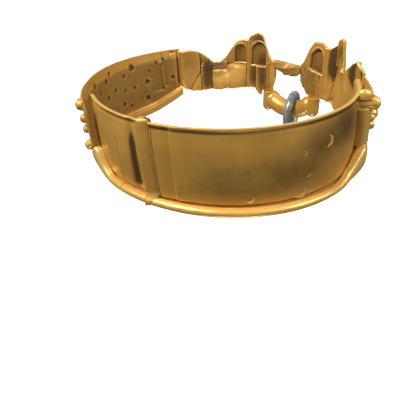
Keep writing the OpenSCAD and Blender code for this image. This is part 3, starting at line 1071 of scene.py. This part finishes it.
        # Painted light on the rim's upper half and where it rises, painted shade on its underside and along
        # its inner edge, darker in the crack
        wear = 0.5 * ramp(up, 2.0, 3.6) - 0.5 * ramp(up, 0.7, 0.0) - 0.9 * hump(out + 1.1, 0.6)
        wear = np.tile(wear, (size[0], 1)) + 0.4 * np.clip(rising - 1.0, 0.0, 1.5) - 3.0 * split
        wear = np.clip(wear + 0.3 / rising**2 * self.wear_waves.at(angle, around), -1, 1)
        made = make_mesh(name + "_rolled", loops, loft_faces(*size) + flat_ends(*size), wear, self.sharp_edge)
        self.shop.deliver(made, Body.COLLAR, Slot.GOLD, name)

    def build(self) -> None:
        """Builds both runs."""
        middle = self.shop.band.rib_angle
        right_end = middle + self.rib_half - self.tuck
        self.run("lower_rim_left", self.left_first - FULL_TURN, middle - self.rib_half, self.lift_left, 0.0)
        self.run("lower_rim_right", right_end, self.right_first, self.lift_right, self.cut)


@dataclass
class SidePlates:
    """The outer side walls, whose studs are driven out from the inside and leave pits there."""

    shop: Workshop
    left: tuple[float, float] = (61.8, 154.5)
    right: tuple[float, float] = (-80.0, -56.8)
    # Half the thickness of the right plate's end, which turns in to the plain back, and where the turn starts
    end_half: float = 1.9
    end_turn: float = -76.6
    rise: float = 1.15
    step: float = 0.36
    height_rows: int = 84
    waves: Waves = Waves(37, 0.14, (4.5, 4.5), (10.0, 0.0))
    # How uneven the studs are, and how many cells of that there are to a degree and to a millimetre
    uneven: float = 0.04
    uneven_scale: float = 1.4
    # How much of the pressed forms shows outside, and how deep a stud's pit is as a share of its radius
    shown: float = 0.7
    pit: float = 0.6
    # How steep a stud's sides are, and its pit: share of the stud's size, how steep its sides are
    dome_power: float = 2.4
    pit_size: float = 0.9
    pit_power: float = 1.5
    # Painted highlight at the bottom of a pit and painted shade on its sides: amount, share of the radius
    # where each ends and is full
    pit_highlight: tuple[float, float, float] = (1.5, 0.32, 0.12)
    pit_shade: tuple[float, float, float] = (0.75, 0.85, 0.4)
    # How much thinner the plate gets towards its top edge, and over how many millimetres
    hem: float = 0.8
    hem_height: float = 5.5
    # How worn what stands proud is, outside and inside, and the painted light under the top: amount, two
    # heights
    worn: tuple[float, float] = (0.9, 0.8)
    top_highlight: tuple[float, float, float] = (0.3, 28.5, 30.5)
    # How far the outside of the right plate's end bends in
    end_bend: float = 0.5
    # How far the foot of the sheet reaches down over the rim, so that no light shows between them
    overlap: float = 0.6
    seat: float = 0.1
    # How much painted shade darkens the side that faces the neck
    inner_shade: float = 0.5
    lift_left: Pairs = LowerRim.lift_left
    lift_right: Pairs = LowerRim.lift_right
    # Studs: angle, height, radius
    studs_left: Triples = (
        (66.9, 18.7, 1.7), (71.4, 29.9, 1.4), (75.4, 28.5, 1.5), (79.8, 24.9, 1.3), (81.6, 19.0, 2.2),
        (82.2, 9.4, 2.1), (89.7, 17.9, 1.7), (90.0, 29.1, 2.6), (93.2, 8.2, 1.4), (95.7, 25.9, 1.6),
        (95.9, 18.1, 1.6), (97.7, 10.7, 1.8), (102.5, 20.6, 1.7), (105.7, 30.3, 1.5), (108.8, 18.7, 1.9),
        (109.1, 27.4, 2.0), (110.5, 9.4, 2.1), (115.6, 23.8, 1.5), (118.2, 14.6, 2.4), (121.0, 29.3, 1.9),
        (124.4, 8.6, 1.5), (126.5, 20.2, 2.0), (131.0, 27.6, 1.5), (132.2, 12.8, 2.3), (141.0, 29.0, 2.5),
        (143.6, 22.4, 1.6), (139.4, 17.2, 1.9), (141.2, 8.9, 2.6), (149.6, 31.2, 2.3), (150.2, 25.6, 1.9),
        (150.6, 20.9, 1.7), (149.8, 13.4, 2.4))
    studs_right: Triples = (
        (-60.9, 30.9, 1.6), (-66.4, 28.3, 2.2), (-61.4, 22.6, 1.8), (-70.9, 24.3, 2.9), (-66.0, 16.6, 2.4),
        (-61.8, 11.6, 1.7), (-66.5, 10.6, 1.8), (-76.0, 30.6, 2.8), (-76.3, 24.9, 1.5), (-75.6, 21.6, 1.8),
        (-72.0, 20.3, 1.7), (-65.0, 23.0, 1.6))
    # Painted light on the outside: angle, height, half sizes in both, amount
    painted_light_and_shade: Fives = (
        (-79.0, 20.0, 4.0, 14.0, 0.8), (-70.0, 20.0, 7.0, 14.0, 0.4), (152.0, 10.0, 5.0, 7.0, 0.8))

    def plate(self, name: str, ends: Sequence[float], lift: Rows, studs: Rows, forms: Sequence) -> None:
        """Builds one side plate.

        Args:
            name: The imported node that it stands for.
            ends: Its first and last angle.
            lift: How far the rim lifts its foot, by the size of the angle.
            studs: Its studs.
            forms: What else is pressed into it.
        """
        band = self.shop.band
        half = band.sheet / 2
        inset = math.degrees(half / band.half_w)
        turned_in = ends[0] < self.end_turn
        first = ends[0] + (math.degrees(self.end_half / band.half_w) if turned_in else inset)
        along = steps(first, ends[1] - inset, self.step)
        crest = band.crest * band.rising(along) + np.interp(np.abs(along), *zip(*lift))
        foot = crest + band.seat + half - self.overlap
        share = np.linspace(0, 1, self.height_rows)
        angle = np.repeat(along[:, None], len(share), 1)
        height = foot[:, None] + (band.height - half - foot[:, None]) * share
        pressed = self.waves.at(angle, height) + sum(form.at(angle, height) for form in forms)
        grain = Grain(self.waves.seed).at(angle * self.uneven_scale, height * self.uneven_scale)
        outer, inner = self.shown * pressed, pressed.copy()
        wear_and_painted_light_inner = np.full_like(inner, -self.inner_shade)
        (bright, *polish_and_highlight), (dark, *shaded) = self.pit_highlight, self.pit_shade
        for spot, level, radius in studs:
            away = np.hypot(np.radians(angle - spot) * band.plan(angle), height - level) / radius
            dome = np.sqrt(np.clip(1.0 - away**self.dome_power, 0.0, 1.0))
            outer += self.rise * radius * dome * (1.0 - self.uneven + self.uneven * grain)
            bowl = np.clip(1.0 - (away / self.pit_size) ** 2.0, 0.0, 1.0) ** self.pit_power
            inner += self.pit * radius * bowl
            # A painted highlight at the bottom of each pit, painted shade on its sides
            wear_and_painted_light_inner += bright * ramp(away, *polish_and_highlight) - dark * ramp(away, *shaded)
        inner += self.hem * ramp(height, band.height - self.hem_height, band.height)
        base = band.wall(angle, height) + band.spread(angle, height)
        # Rubbed bright where the studs stand proud, with patches of painted light
        wear = np.clip(self.worn[0] * proud(outer) + painted_light_patches(self.painted_light_and_shade, angle, height), -1, 1)
        # Painted light in a band under the top of the inside
        bright, *polish_and_highlight = self.top_highlight
        wear_and_painted_light_inner += bright * ramp(height, *polish_and_highlight) - self.worn[1] * proud(inner)
        wear_and_painted_light_inner = np.clip(wear_and_painted_light_inner, -1, 1)
        outer, inner = base + outer, base - band.sheet + inner
        if turned_in:
            bend = ramp(angle, self.end_turn, first)
            inner = inner + bend * (band.back(angle, height) + self.seat - inner)
            outer = outer - self.end_bend * bend**4
        self.shop.sheet(name, "studded", Patch(angle, height, outer, inner, wear, wear_and_painted_light_inner))

    def build(self) -> None:
        """Builds both plates, the left one with sloping facets at its front and the right one with flutes."""
        facets = (
            Slope((80.5, 20.0), (72.0, 20.0), (0.0, 0.9), (72.0, 80.5, 12.0, 28.0), 1.0),
            Slope((71.4, 20.0), (65.0, 20.0), (0.7, -0.3), (64.5, 71.4, 14.0, 30.0), 0.7),
            Rib(71.8, 1.2, 26.0, 33.0, -0.5), Rib(63.6, 1.8, 14.0, 33.0, -0.7),
            Pillow(66.0, 1.6, 32.6, 1.3, -0.8))
        flutes = (Flutes(-80.0, -58.0, 12.0, 34.0, 3.6, 0.5),)
        self.plate("side_plate_left", self.left, self.lift_left, self.studs_left, facets)
        self.plate("side_plate_right", self.right, self.lift_right, self.studs_right, flutes)


class PackedSheet:
    """The two faces of a packed sheet as radii over angle and height, read off its mesh."""

    # How far the first and the last cut lie inside the sheet, and the least thickness that counts as sheet
    MARGIN = 0.02
    LEAST_SHEET = 0.5
    # The least rise of an edge, which keeps a division sound
    LEAST_RISE = 1e-6
    SMOOTHING = 3

    def __init__(self, node: str, columns: int = 160, rows: int = 80) -> None:
        """Cuts the sheet at evenly spaced angles.

        Args:
            node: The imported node.
            columns: How many cuts to make.
            rows: How many heights to read at each cut.
        """
        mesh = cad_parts[node].data
        mesh.calc_loop_triangles()
        spots = np.array([v.co for v in mesh.vertices]) / MM
        corners = spots[np.array([t.vertices for t in mesh.loop_triangles])]
        turn = np.degrees(np.arctan2(corners[..., 0], -corners[..., 1]))
        self.angles = np.linspace(turn.min() + self.MARGIN, turn.max() - self.MARGIN, columns)
        self.levels = np.linspace(spots[:, 2].min(), spots[:, 2].max(), rows)
        self.foot, self.top = np.empty(columns), np.empty(columns)
        self.outer, self.inner = np.empty((columns, rows)), np.empty((columns, rows))
        for column, angle in enumerate(self.angles):
            self.cut(column, angle, corners, turn)
        self.outer = blurred(self.outer, self.SMOOTHING)
        self.inner = blurred(self.inner, self.SMOOTHING)

    def cut(self, column: int, angle: float, corners: Array, turn: Array) -> None:
        """Reads one section: where the cut crosses each triangle, and the radii between.

        Args:
            column: The column to fill.
            angle: The angle of the cut.
            corners: The triangles' corners.
            turn: The corners' angles.
        """
        after = np.roll(turn, -1, 1)
        crossed = (turn < angle) != (after < angle)
        share = np.where(crossed, (angle - turn) / np.where(crossed, after - turn, 1.0), 0.0)
        points = corners + share[..., None] * (np.roll(corners, -1, 1) - corners)
        hit = crossed.sum(1) == 2
        ends = points[hit][crossed[hit]].reshape(-1, 2, 3)
        radius, height = np.hypot(ends[..., 0], ends[..., 1]), ends[..., 2]
        self.foot[column], self.top[column] = height.min(), height.max()
        rise = height[:, 1] - height[:, 0]
        rise = np.where(np.abs(rise) < self.LEAST_RISE, self.LEAST_RISE, rise)
        along = (self.levels[None] - height[:, :1]) / rise[:, None]
        found = radius[:, :1] + along * (radius[:, 1:] - radius[:, :1])
        found = np.where((along >= 0) & (along <= 1), found, np.nan)
        known = np.isfinite(found).any(0)
        low, high = np.nanmin(found[:, known], 0), np.nanmax(found[:, known], 0)
        sound = high - low > self.LEAST_SHEET
        at = self.levels[known][sound]
        self.inner[column] = np.interp(self.levels, at, low[sound])
        self.outer[column] = np.interp(self.levels, at, high[sound])

    def outline(self, angle: Array) -> tuple[Array, Array]:
        """The heights of the foot and the top at angles."""
        return np.interp(angle, self.angles, self.foot), np.interp(angle, self.angles, self.top)

    def radii(self, angle: Array, height: Array) -> tuple[Array, Array]:
        """The radii of the outer and the inner face at angles and heights."""
        u = np.interp(angle, self.angles, np.arange(len(self.angles)))
        v = np.interp(height, self.levels, np.arange(len(self.levels)))
        i = np.minimum(u.astype(int), len(self.angles) - 2)
        j = np.minimum(v.astype(int), len(self.levels) - 2)
        fu, fv = u - i, v - j

        def read(grid: Array) -> Array:
            """A grid's values between its points."""
            low = grid[i, j] * (1 - fu) + grid[i + 1, j] * fu
            return low * (1 - fv) + (grid[i, j + 1] * (1 - fu) + grid[i + 1, j + 1] * fu) * fv

        return read(self.outer), read(self.inner)


# Each form below is pressed outwards by a positive depth, so that it is hollow as seen from the inside


@dataclass(frozen=True)
class Niche:
    """A round-headed hollow with a raised line round it."""

    angle: float
    width: float
    foot: float
    top: float
    depth: float
    slant: float = 0.0
    lip: float = 0.35

    def at(self, angle: Array, height: Array) -> Array:
        """The depth at angles and heights."""
        across = angle - self.angle
        half = self.width / 2
        spring = self.top - half
        inside = half - np.where(height > spring, np.hypot(across, height - spring), np.abs(across))
        inside = np.minimum(inside, height - (self.foot + self.slant * across))
        bowl = 0.6 + 0.4 * np.clip(1.0 - (across / half) ** 2, 0.0, 1.0)
        line = np.exp(-(((inside + 0.35) / 0.35) ** 2))
        return self.depth * ramp(inside, -0.15, 0.6) * bowl - self.lip * line


@dataclass(frozen=True)
class Rib:
    """An upright rib that stands towards the inside, or a groove where its height is negative."""

    angle: float
    width: float
    foot: float
    top: float
    high: float
    lean: float = 0.0

    def at(self, angle: Array, height: Array) -> Array:
        """The depth at angles and heights."""
        middle = self.angle + self.lean * (height - self.foot)
        ends = between(height, self.foot, self.top, 0.6, 0.6)
        return -self.high * hump(angle - middle, self.width / 2) * ends


@dataclass(frozen=True)
class Bark:
    """A rough, upright, split texture like bark."""

    first: float
    last: float
    foot: float
    top: float
    depth: float
    seed: int
    across: float = 0.75
    upward: float = 0.10
    flakes: float = 0.3

    def at(self, angle: Array, height: Array) -> Array:
        """The depth at angles and heights."""
        ends = between(angle, self.first, self.last, 0.4, 0.5)
        ends = ends * between(height, self.foot, self.top, 0.5, 0.8)
        waves = Grain(self.seed)
        sway = 0.5 * waves.at(angle * 0.3, height * 0.2)
        strands = waves.layered((angle + sway) * self.across, height * self.upward, 2)
        flakes = waves.layered(angle * 0.9 + 50.0, height * 0.45, 2)
        return self.depth * ends * (1.2 * np.abs(strands) - 0.4 + self.flakes * flakes)


@dataclass(frozen=True)
class Pillow:
    """A full, soft swelling towards the inside."""

    angle: float
    half_width: float
    height: float
    half_height: float
    high: float

    def at(self, angle: Array, height: Array) -> Array:
        """The depth at angles and heights."""
        away = np.hypot((angle - self.angle) / self.half_width, (height - self.height) / self.half_height)
        return -self.high * np.clip(1.0 - away**2.5, 0.0, 1.0) ** 0.8


@dataclass(frozen=True)
class Slope:
    """A flat face whose depth changes evenly from one point to another and stays inside a box."""

    start: tuple[float, float]
    end: tuple[float, float]
    depths: tuple[float, float]
    box: tuple[float, float, float, float]
    blend: float = 0.5

    def at(self, angle: Array, height: Array) -> Array:
        """The depth at angles and heights."""
        run = np.subtract(self.end, self.start)
        share = ((angle - self.start[0]) * run[0] + (height - self.start[1]) * run[1]) / (run @ run)
        first, last, foot, top = self.box
        blend = self.blend
        mask = between(angle, first, last, blend, blend) * between(height, foot, top, blend, blend)
        return mask * (self.depths[0] + (self.depths[1] - self.depths[0]) * np.clip(share, 0.0, 1.0))


@dataclass(frozen=True)
class Fold:
    """A hollow that narrows to a point at its foot, gentle on its first side and steep on its last."""

    angle: float
    half_top: float
    half_foot: float
    foot: float
    top: float
    depth: float
    lean: float = 0.0
    skew: float = 0.6

    def at(self, angle: Array, height: Array) -> Array:
        """The depth at angles and heights."""
        half = np.interp(height, [self.foot, self.top], [self.half_foot, self.half_top])
        across = (angle - self.angle - self.lean * (height - self.foot)) / half
        steep, gentle = (1.0 - across) / (1.0 - self.skew), (1.0 + across) / (1.0 + self.skew)
        inside = np.clip(np.where(across > self.skew, steep, gentle), 0.0, 1.0)
        return self.depth * inside * ramp(height, self.foot - 1.0, self.foot + 4.0)


@dataclass(frozen=True)
class Shield:
    """A flat shield with a pointed foot, which stands towards the inside over two sloping facets."""

    first: float
    last: float
    # The shield's lower edge: angle, height
    edge: Pairs
    high: float
    skirt: float

    def at(self, angle: Array, height: Array) -> Array:
        """The depth at angles and heights."""
        spots, levels = np.array(self.edge).T
        edge = np.interp(angle, spots, levels)
        inside = between(angle, self.first, self.last, 0.2, 0.4)
        body = inside * ramp(height - edge, -0.5, 0.5)
        below = inside * ramp(edge - height, -0.2, 0.4) * np.clip((edge - height) / 5.0, 0.0, 1.0)
        return -self.high * body - self.skirt * below


@dataclass(frozen=True)
class Flutes:
    """A row of upright grooves."""

    first: float
    last: float
    foot: float
    top: float
    pitch: float
    depth: float

    def at(self, angle: Array, height: Array) -> Array:
        """The depth at angles and heights."""
        ends = between(angle, self.first, self.last, 0.3, 0.5) * ramp(height, self.foot, self.foot + 2.0)
        lean = 0.05 * (height - self.foot)
        turn = 2 * np.pi * (angle - self.first + lean) / self.pitch
        return self.depth * ends * (0.5 + 0.5 * np.cos(turn)) ** 1.5


@dataclass
class FrontWings:
    """The two cast halves of the front, with niches, rough columns, a shield and low swellings."""

    shop: Workshop
    step: float = 0.2
    rows: int = 120
    waves: Waves = Waves(41, 0.08, (3.0, 3.0), (60.0, 0.0))
    # How much of the cast forms shows outside, and how far patina and painted shade darken their hollows
    shown: float = 0.75
    hollow_patina_and_shade: float = 0.22
    # How far the sheet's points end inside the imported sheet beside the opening, and beside the plate
    inset: tuple[float, float] = (0.7, -0.1)
    lean_share: float = 0.5
    # How much painted shade darkens the side that faces the neck, more so towards the top
    inner_shade: float = 0.3
    # How far the foot leans out beside the opening: angle at the top, lean
    lean_left: Pairs = ((4.9, 2.9), (8.0, 1.4), (10.0, 0.6), (12.0, 0.0))
    lean_right: Pairs = ((-19.2, 0.0), (-16.8, -1.4), (-15.0, -2.4), (-13.2, -3.3), (-11.0, -4.5))
    # The lower edge of the shield: angle, height
    shield_edge: Pairs = ((51.0, 20.5), (52.3, 19.0), (56.4, 13.2), (57.4, 9.8), (58.2, 11.0), (61.6, 17.8))
    forms_left: tuple = (
        # The two niches with the pillar between them, and the dark bay and the bark under them
        Niche(27.5, 7.4, 24.9, 35.2, 1.2), Niche(16.1, 9.6, 24.2, 36.8, 1.2), Rib(22.4, 1.5, 24.5, 37.5, 0.6),
        Slope((23.4, 18.0), (18.0, 18.0), (-0.4, 1.1), (17.8, 23.4, 11.0, 24.0)),
        Bark(9.0, 17.8, 5.0, 24.4, 0.55, 6), Bark(3.0, 10.0, 6.0, 31.0, 0.5, 5),
        Slope((4.9, 18.0), (10.0, 18.0), (-0.5, 0.8), (4.0, 10.0, 9.0, 26.0)),
        # The two swellings and the rolled edge of the dip over them
        Pillow(39.4, 5.6, 15.0, 7.0, 1.7), Pillow(31.0, 7.6, 16.5, 8.8, 2.1),
        Rib(23.9, 0.9, 10.0, 24.8, -0.7),
        Slope((40.0, 20.5), (40.0, 26.0), (0.8, -0.7), (35.5, 46.0, 20.5, 29.0)),
        Slope((30.0, 22.0), (30.0, 25.0), (0.0, 0.7), (24.0, 35.5, 21.0, 24.8), 0.3),
        # The dark facets and the bright sliver beside the shield, and the shield
        Slope((51.0, 16.0), (44.4, 16.0), (-1.0, 1.0), (44.3, 50.8, 9.0, 24.0), 0.3),
        Slope((46.6, 28.0), (50.4, 27.0), (-0.6, 0.6), (46.6, 50.4, 25.0, 31.5), 0.4),
        Rib(51.0, 1.0, 19.0, 33.0, -0.9), Shield(51.0, 61.9, shield_edge, 0.9, 1.5))
    forms_right: tuple = (
        # The niche with the bark under it, and the pillar
        Niche(-22.5, 9.2, 26.8, 37.6, 1.5, 0.2), Bark(-27.4, -9.0, 12.4, 27.0, 0.7, 8),
        Rib(-28.0, 1.4, 20.0, 39.0, 0.7),
        # The fold, the bark beside the peak, the plane and the bark under it
        Fold(-34.0, 3.6, 0.4, 20.5, 39.0, 2.3, 0.1, -0.7), Bark(-43.4, -35.4, 32.0, 45.0, 0.7, 9),
        Slope((-34.2, 20.0), (-43.0, 20.0), (1.0, -1.2), (-43.4, -34.0, 13.0, 32.0)),
        Bark(-40.0, -27.0, 12.0, 18.0, 0.8, 10, 0.5, 0.5, 0.8),
        # The swelling and the two flutes beside the side plate
        Pillow(-46.3, 3.2, 22.0, 13.0, 1.1),
        Slope((-48.8, 22.0), (-52.4, 22.0), (-0.6, 0.9), (-52.4, -48.8, 8.0, 40.0), 0.4),
        Slope((-52.4, 22.0), (-57.0, 22.0), (-0.6, 0.9), (-57.4, -52.4, 8.0, 40.0), 0.4))
    # Painted light (+) and painted shade (-) on the side that faces the neck: first and last angle, foot,
    # top, amount
    painted_light_and_shade: Fives = (
        # Painted light: the swellings, the facet and the sliver beside the shield, the column beside the
        # opening
        (24, 40, 12, 23, 0.9), (37, 45, 12, 20, 0.6), (51, 56, 10, 18, 0.3), (60, 62, 12, 18, 0.9),
        (5, 10, 11, 27, 0.7),
        # Painted shade: the bay, the bark, the dark facets, the dip, the peak beside the opening and the
        # shield
        (18, 23, 12, 24, -0.55), (10, 17, 9, 28, -0.6), (44, 51, 8, 26, -0.65), (32, 49, 21, 26, -0.6),
        (11, 21, 36, 41, -0.4), (52, 62, 12, 32, -0.2),
        # Painted light on the other half: the pillar, the plane, the swelling and the middle of the flutes
        (-30, -27, 22, 38, 0.6), (-46, -35, 18, 32, 0.4), (-50, -45, 23, 30, 0.9), (-58, -53, 27, 33, 0.3),
        # Painted shade there: the bark, the fold, the two flutes and the bark beside the peak
        (-28, -11, 12, 28, -0.3), (-36, -30, 25, 39, -0.7), (-53, -48, 26, 38, -0.7),
        (-61, -56, 31, 38, -0.6), (-42, -35, 36, 42, -0.3))

    def wing(self, node: str, forms: Sequence, lean: Rows) -> None:
        """Builds one half of the front over its packed sheet.

        Args:
            node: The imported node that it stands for.
            forms: What is cast into it.
            lean: The table of the lean beside the opening.
        """
        packed = PackedSheet(node)
        half = self.shop.band.sheet / 2
        tops, leans = zip(*lean)
        ends = [packed.angles[0], packed.angles[-1]]
        if tops[0] > 0:
            ends[0] = tops[0]
        else:
            ends[1] = tops[-1]
        along = steps(ends[0] + self.inset[tops[0] < 0], ends[1] - self.inset[tops[0] > 0], self.step)
        column = np.clip(along, packed.angles[0], packed.angles[-1])
        drift = np.interp(column, tops, leans)
        foot, _ = packed.outline(column + drift)
        _, top = packed.outline(column)
        share = np.linspace(0.0, 1.0, self.rows)
        angle = along[:, None] + drift[:, None] * np.clip(1.0 - share / self.lean_share, 0.0, 1.0)
        height = (foot + half)[:, None] + (top - foot - 2 * half)[:, None] * share
        outer, inner = packed.radii(angle, height)
        relief = sum(form.at(angle, height) for form in forms)
        relief = relief + self.waves.at(angle, height)
        cast = self.shown * blurred(relief, 2)
        wear = np.clip(proud(cast), -1, 1)
        patches = [((first + last) / 2, (low + high) / 2, (last - first) / 2, (high - low) / 2, amount)
                   for first, last, low, high, amount in self.painted_light_and_shade]
        # Patches of painted light and painted shade on the side that faces the neck, with more painted shade
        # towards the top
        wear_and_painted_light_inner = painted_light_patches(patches, angle, height) - self.inner_shade * (0.5 + 0.5 * ramp(height, 20.0, 28.0))
        # Darker in the cast hollows, as patina and painted shade
        wear_and_painted_light_inner -= proud(relief) + self.hollow_patina_and_shade * ramp(relief, 0.2, 1.2)
        patch = Patch(angle, height, outer + cast, inner + relief, wear, np.clip(wear_and_painted_light_inner, -1, 1))
        self.shop.sheet(node, "cast", patch, SHARP_CAST_EDGE)

    def build(self) -> None:
        """Builds both halves."""
        self.wing("front_wing_left", self.forms_left, self.lean_left)
        self.wing("front_wing_right", self.forms_right, self.lean_right)


@dataclass
class TopBridge:
    """The twisted, faceted bar over the opening."""

    shop: Workshop
    inset: float = 1.6
    depth: float = 0.8
    sides: int = 6
    turn: float = 17.0
    least: float = 0.86
    seed: int = 3
    # How much darker the whole bar is coloured, and how wide its worn edges are in metres
    wear: float = -0.45
    worn_edge: float = 0.0002
    # From right to left: angle, height, half its height in section
    rows: Triples = (
        (-12.2, 25.4, 2.4), (-9.4, 24.6, 3.3), (-5.4, 24.3, 4.0), (-2.0, 24.4, 3.9), (0.9, 25.2, 3.1),
        (6.0, 26.2, 2.6))

    def build(self) -> None:
        """Builds the bar with flat facets."""
        band = self.shop.band
        uneven = np.random.default_rng(self.seed).uniform(self.least, 1.0, (len(self.rows), self.sides))
        loops = []
        for number, (angle, height, half) in enumerate(self.rows):
            around = np.radians(np.arange(self.sides) * FULL_TURN / self.sides + self.turn * number)
            reach = half * uneven[number]
            radius = band.wall(angle, height) - self.inset + reach * self.depth * np.cos(around)
            loops.append(place(np.full(self.sides, angle), radius, height + reach * np.sin(around)))
        loops = np.array(loops)
        size = loops.shape[:2]
        faces = [face for a, b, c, d in loft_faces(*size) for face in ((a, b, c), (a, c, d))]
        faces += flat_ends(*size)
        piece = make_mesh("top_bridge_bar", loops, faces, np.full(size, self.wear), 0.0)
        bevel = piece.modifiers.new("worn_edges", "BEVEL")
        bevel.width = self.worn_edge
        bevel.segments = 2
        self.shop.deliver(piece, Body.COLLAR, Slot.GOLD, "top_bridge")


@dataclass(frozen=True)
class Lamp:
    """A square soft light: its place, as angles from the front and over the level, its side and power."""

    name: str
    azimuth: float
    pitch: float
    size: float
    power: float


@dataclass(frozen=True)
class Studio:
    """A pale floor far under the collar, three soft lights, pale surroundings and the camera."""

    eye: tuple[float, float, float] = (-0.1098, 0.1244, 0.0837)
    azimuth: float = 224.0
    pitch: float = 36.66
    roll: float = -3.86
    field_of_view: float = 60.0
    sensor: float = 36.0
    near: float = 0.005
    far: float = 100.0
    floor_drop: float = 0.30
    floor_half: float = 30.0
    # How far the lights stand from the collar, in metres
    reach: float = 0.6
    lamps: tuple[Lamp, ...] = (
        Lamp("key_light", 150.0, 58.0, 0.22, 3.6), Lamp("fill_light", 285.0, 42.0, 0.3, 2.0),
        Lamp("low_light", 224.0, -76.0, 0.3, 2.2))
    # The light of the surroundings from below to above: share of the height, linear colour
    sky: tuple = ((0.35, (0.06, 0.06, 0.06, 1.0)), (0.95, (0.33, 0.33, 0.335, 1.0)))
    backdrop: tuple[float, float, float, float] = (1.0, 1.0, 1.0, 1.0)

    def camera(self) -> None:
        """Makes the camera, level with the wearer's back and a little rolled."""
        turn, down, roll = (math.radians(v) for v in (self.azimuth, self.pitch, self.roll))
        back = Vector((math.sin(turn) * math.cos(down), -math.cos(turn) * math.cos(down), math.sin(down)))
        across = Vector((0.0, 0.0, 1.0)).cross(back).normalized()
        up = back.cross(across)
        right = across * math.cos(roll) + up * math.sin(roll)
        made = bpy.data.objects.new("camera", bpy.data.cameras.new("camera"))
        turned = Matrix((right, back.cross(right), back)).transposed().to_4x4()
        made.matrix_world = Matrix.Translation(self.eye) @ turned
        made.data.sensor_width = self.sensor
        made.data.lens = self.sensor / 2 / math.tan(math.radians(self.field_of_view / 2))
        made.data.clip_start, made.data.clip_end = self.near, self.far
        bpy.context.scene.collection.objects.link(made)
        bpy.context.scene.camera = made

    def soft_light(self, lamp: Lamp) -> None:
        """Makes one light that looks at the collar."""
        turn, up = math.radians(lamp.azimuth), math.radians(lamp.pitch)
        away = Vector((math.sin(turn) * math.cos(up), -math.cos(turn) * math.cos(up), math.sin(up)))
        light = bpy.data.lights.new(lamp.name, "AREA")
        light.size, light.energy = lamp.size, lamp.power
        made = bpy.data.objects.new(lamp.name, light)
        made.location = away * self.reach
        made.rotation_mode = "QUATERNION"
        made.rotation_quaternion = away.to_track_quat("Z", "Y")
        bpy.context.scene.collection.objects.link(made)

    def floor(self) -> None:
        """Makes the floor."""
        half, low = self.floor_half, -self.floor_drop
        corners = [(-half, -half, low), (half, -half, low), (half, half, low), (-half, half, low)]
        mesh = bpy.data.meshes.new("floor")
        mesh.from_pydata(corners, [], [(0, 1, 2, 3)])
        mesh.materials.append(FloorFinish().build())
        made = bpy.data.objects.new("floor", mesh)
        made.visible_glossy = made.visible_diffuse = made.visible_shadow = False
        bpy.context.scene.collection.objects.link(made)

    def surroundings(self) -> None:
        """Makes the pale surroundings, which light the metal from above more than from below."""
        world = bpy.data.worlds.new("surroundings")
        bpy.context.scene.world = world
        look = Look(world)
        where = look.node("ShaderNodeTexCoord", outlet="Generated")
        level = look.node("ShaderNodeSeparateXYZ", {}, {0: where}, "Z")
        share = look.node("ShaderNodeMapRange", {}, {"Value": level, "From Min": -1.0})
        shade = look.node("ShaderNodeValToRGB", {"stops": self.sky}, {"Fac": share})
        light = look.node("ShaderNodeBackground", {}, {"Color": shade})
        backdrop = look.node("ShaderNodeBackground", {}, {"Color": self.backdrop})
        seen = look.node("ShaderNodeLightPath", outlet="Is Camera Ray")
        blend = look.node("ShaderNodeMixShader", {}, {0: seen, 1: light, 2: backdrop})
        look.node("ShaderNodeOutputWorld", {}, {"Surface": blend})

    def build(self) -> None:
        """Builds the whole studio."""
        bpy.context.scene.view_settings.view_transform = "Standard"
        self.camera()
        self.floor()
        for lamp in self.lamps:
            self.soft_light(lamp)
        self.surroundings()


def main() -> None:
    """Builds the collar, the drop ring and the studio, and reports each piece."""
    logging.basicConfig(level=logging.INFO, format="%(name)s: %(message)s")
    Studio().build()
    shop = Workshop(Band(), GoldFinish("gold").build(), SteelFinish().build())
    BackPanels(shop).build()
    ClosureRib(shop).build()
    LowerRim(shop).build()
    SidePlates(shop).build()
    FrontWings(shop).build()
    TopBridge(shop).build()
    shop.dress("pendant_bow", Slot.GOLD)
    shop.dress("drop_ring", Slot.STEEL)
    log.info("%d pieces", len(shop.made))


if __name__ == "__main__":
    main()
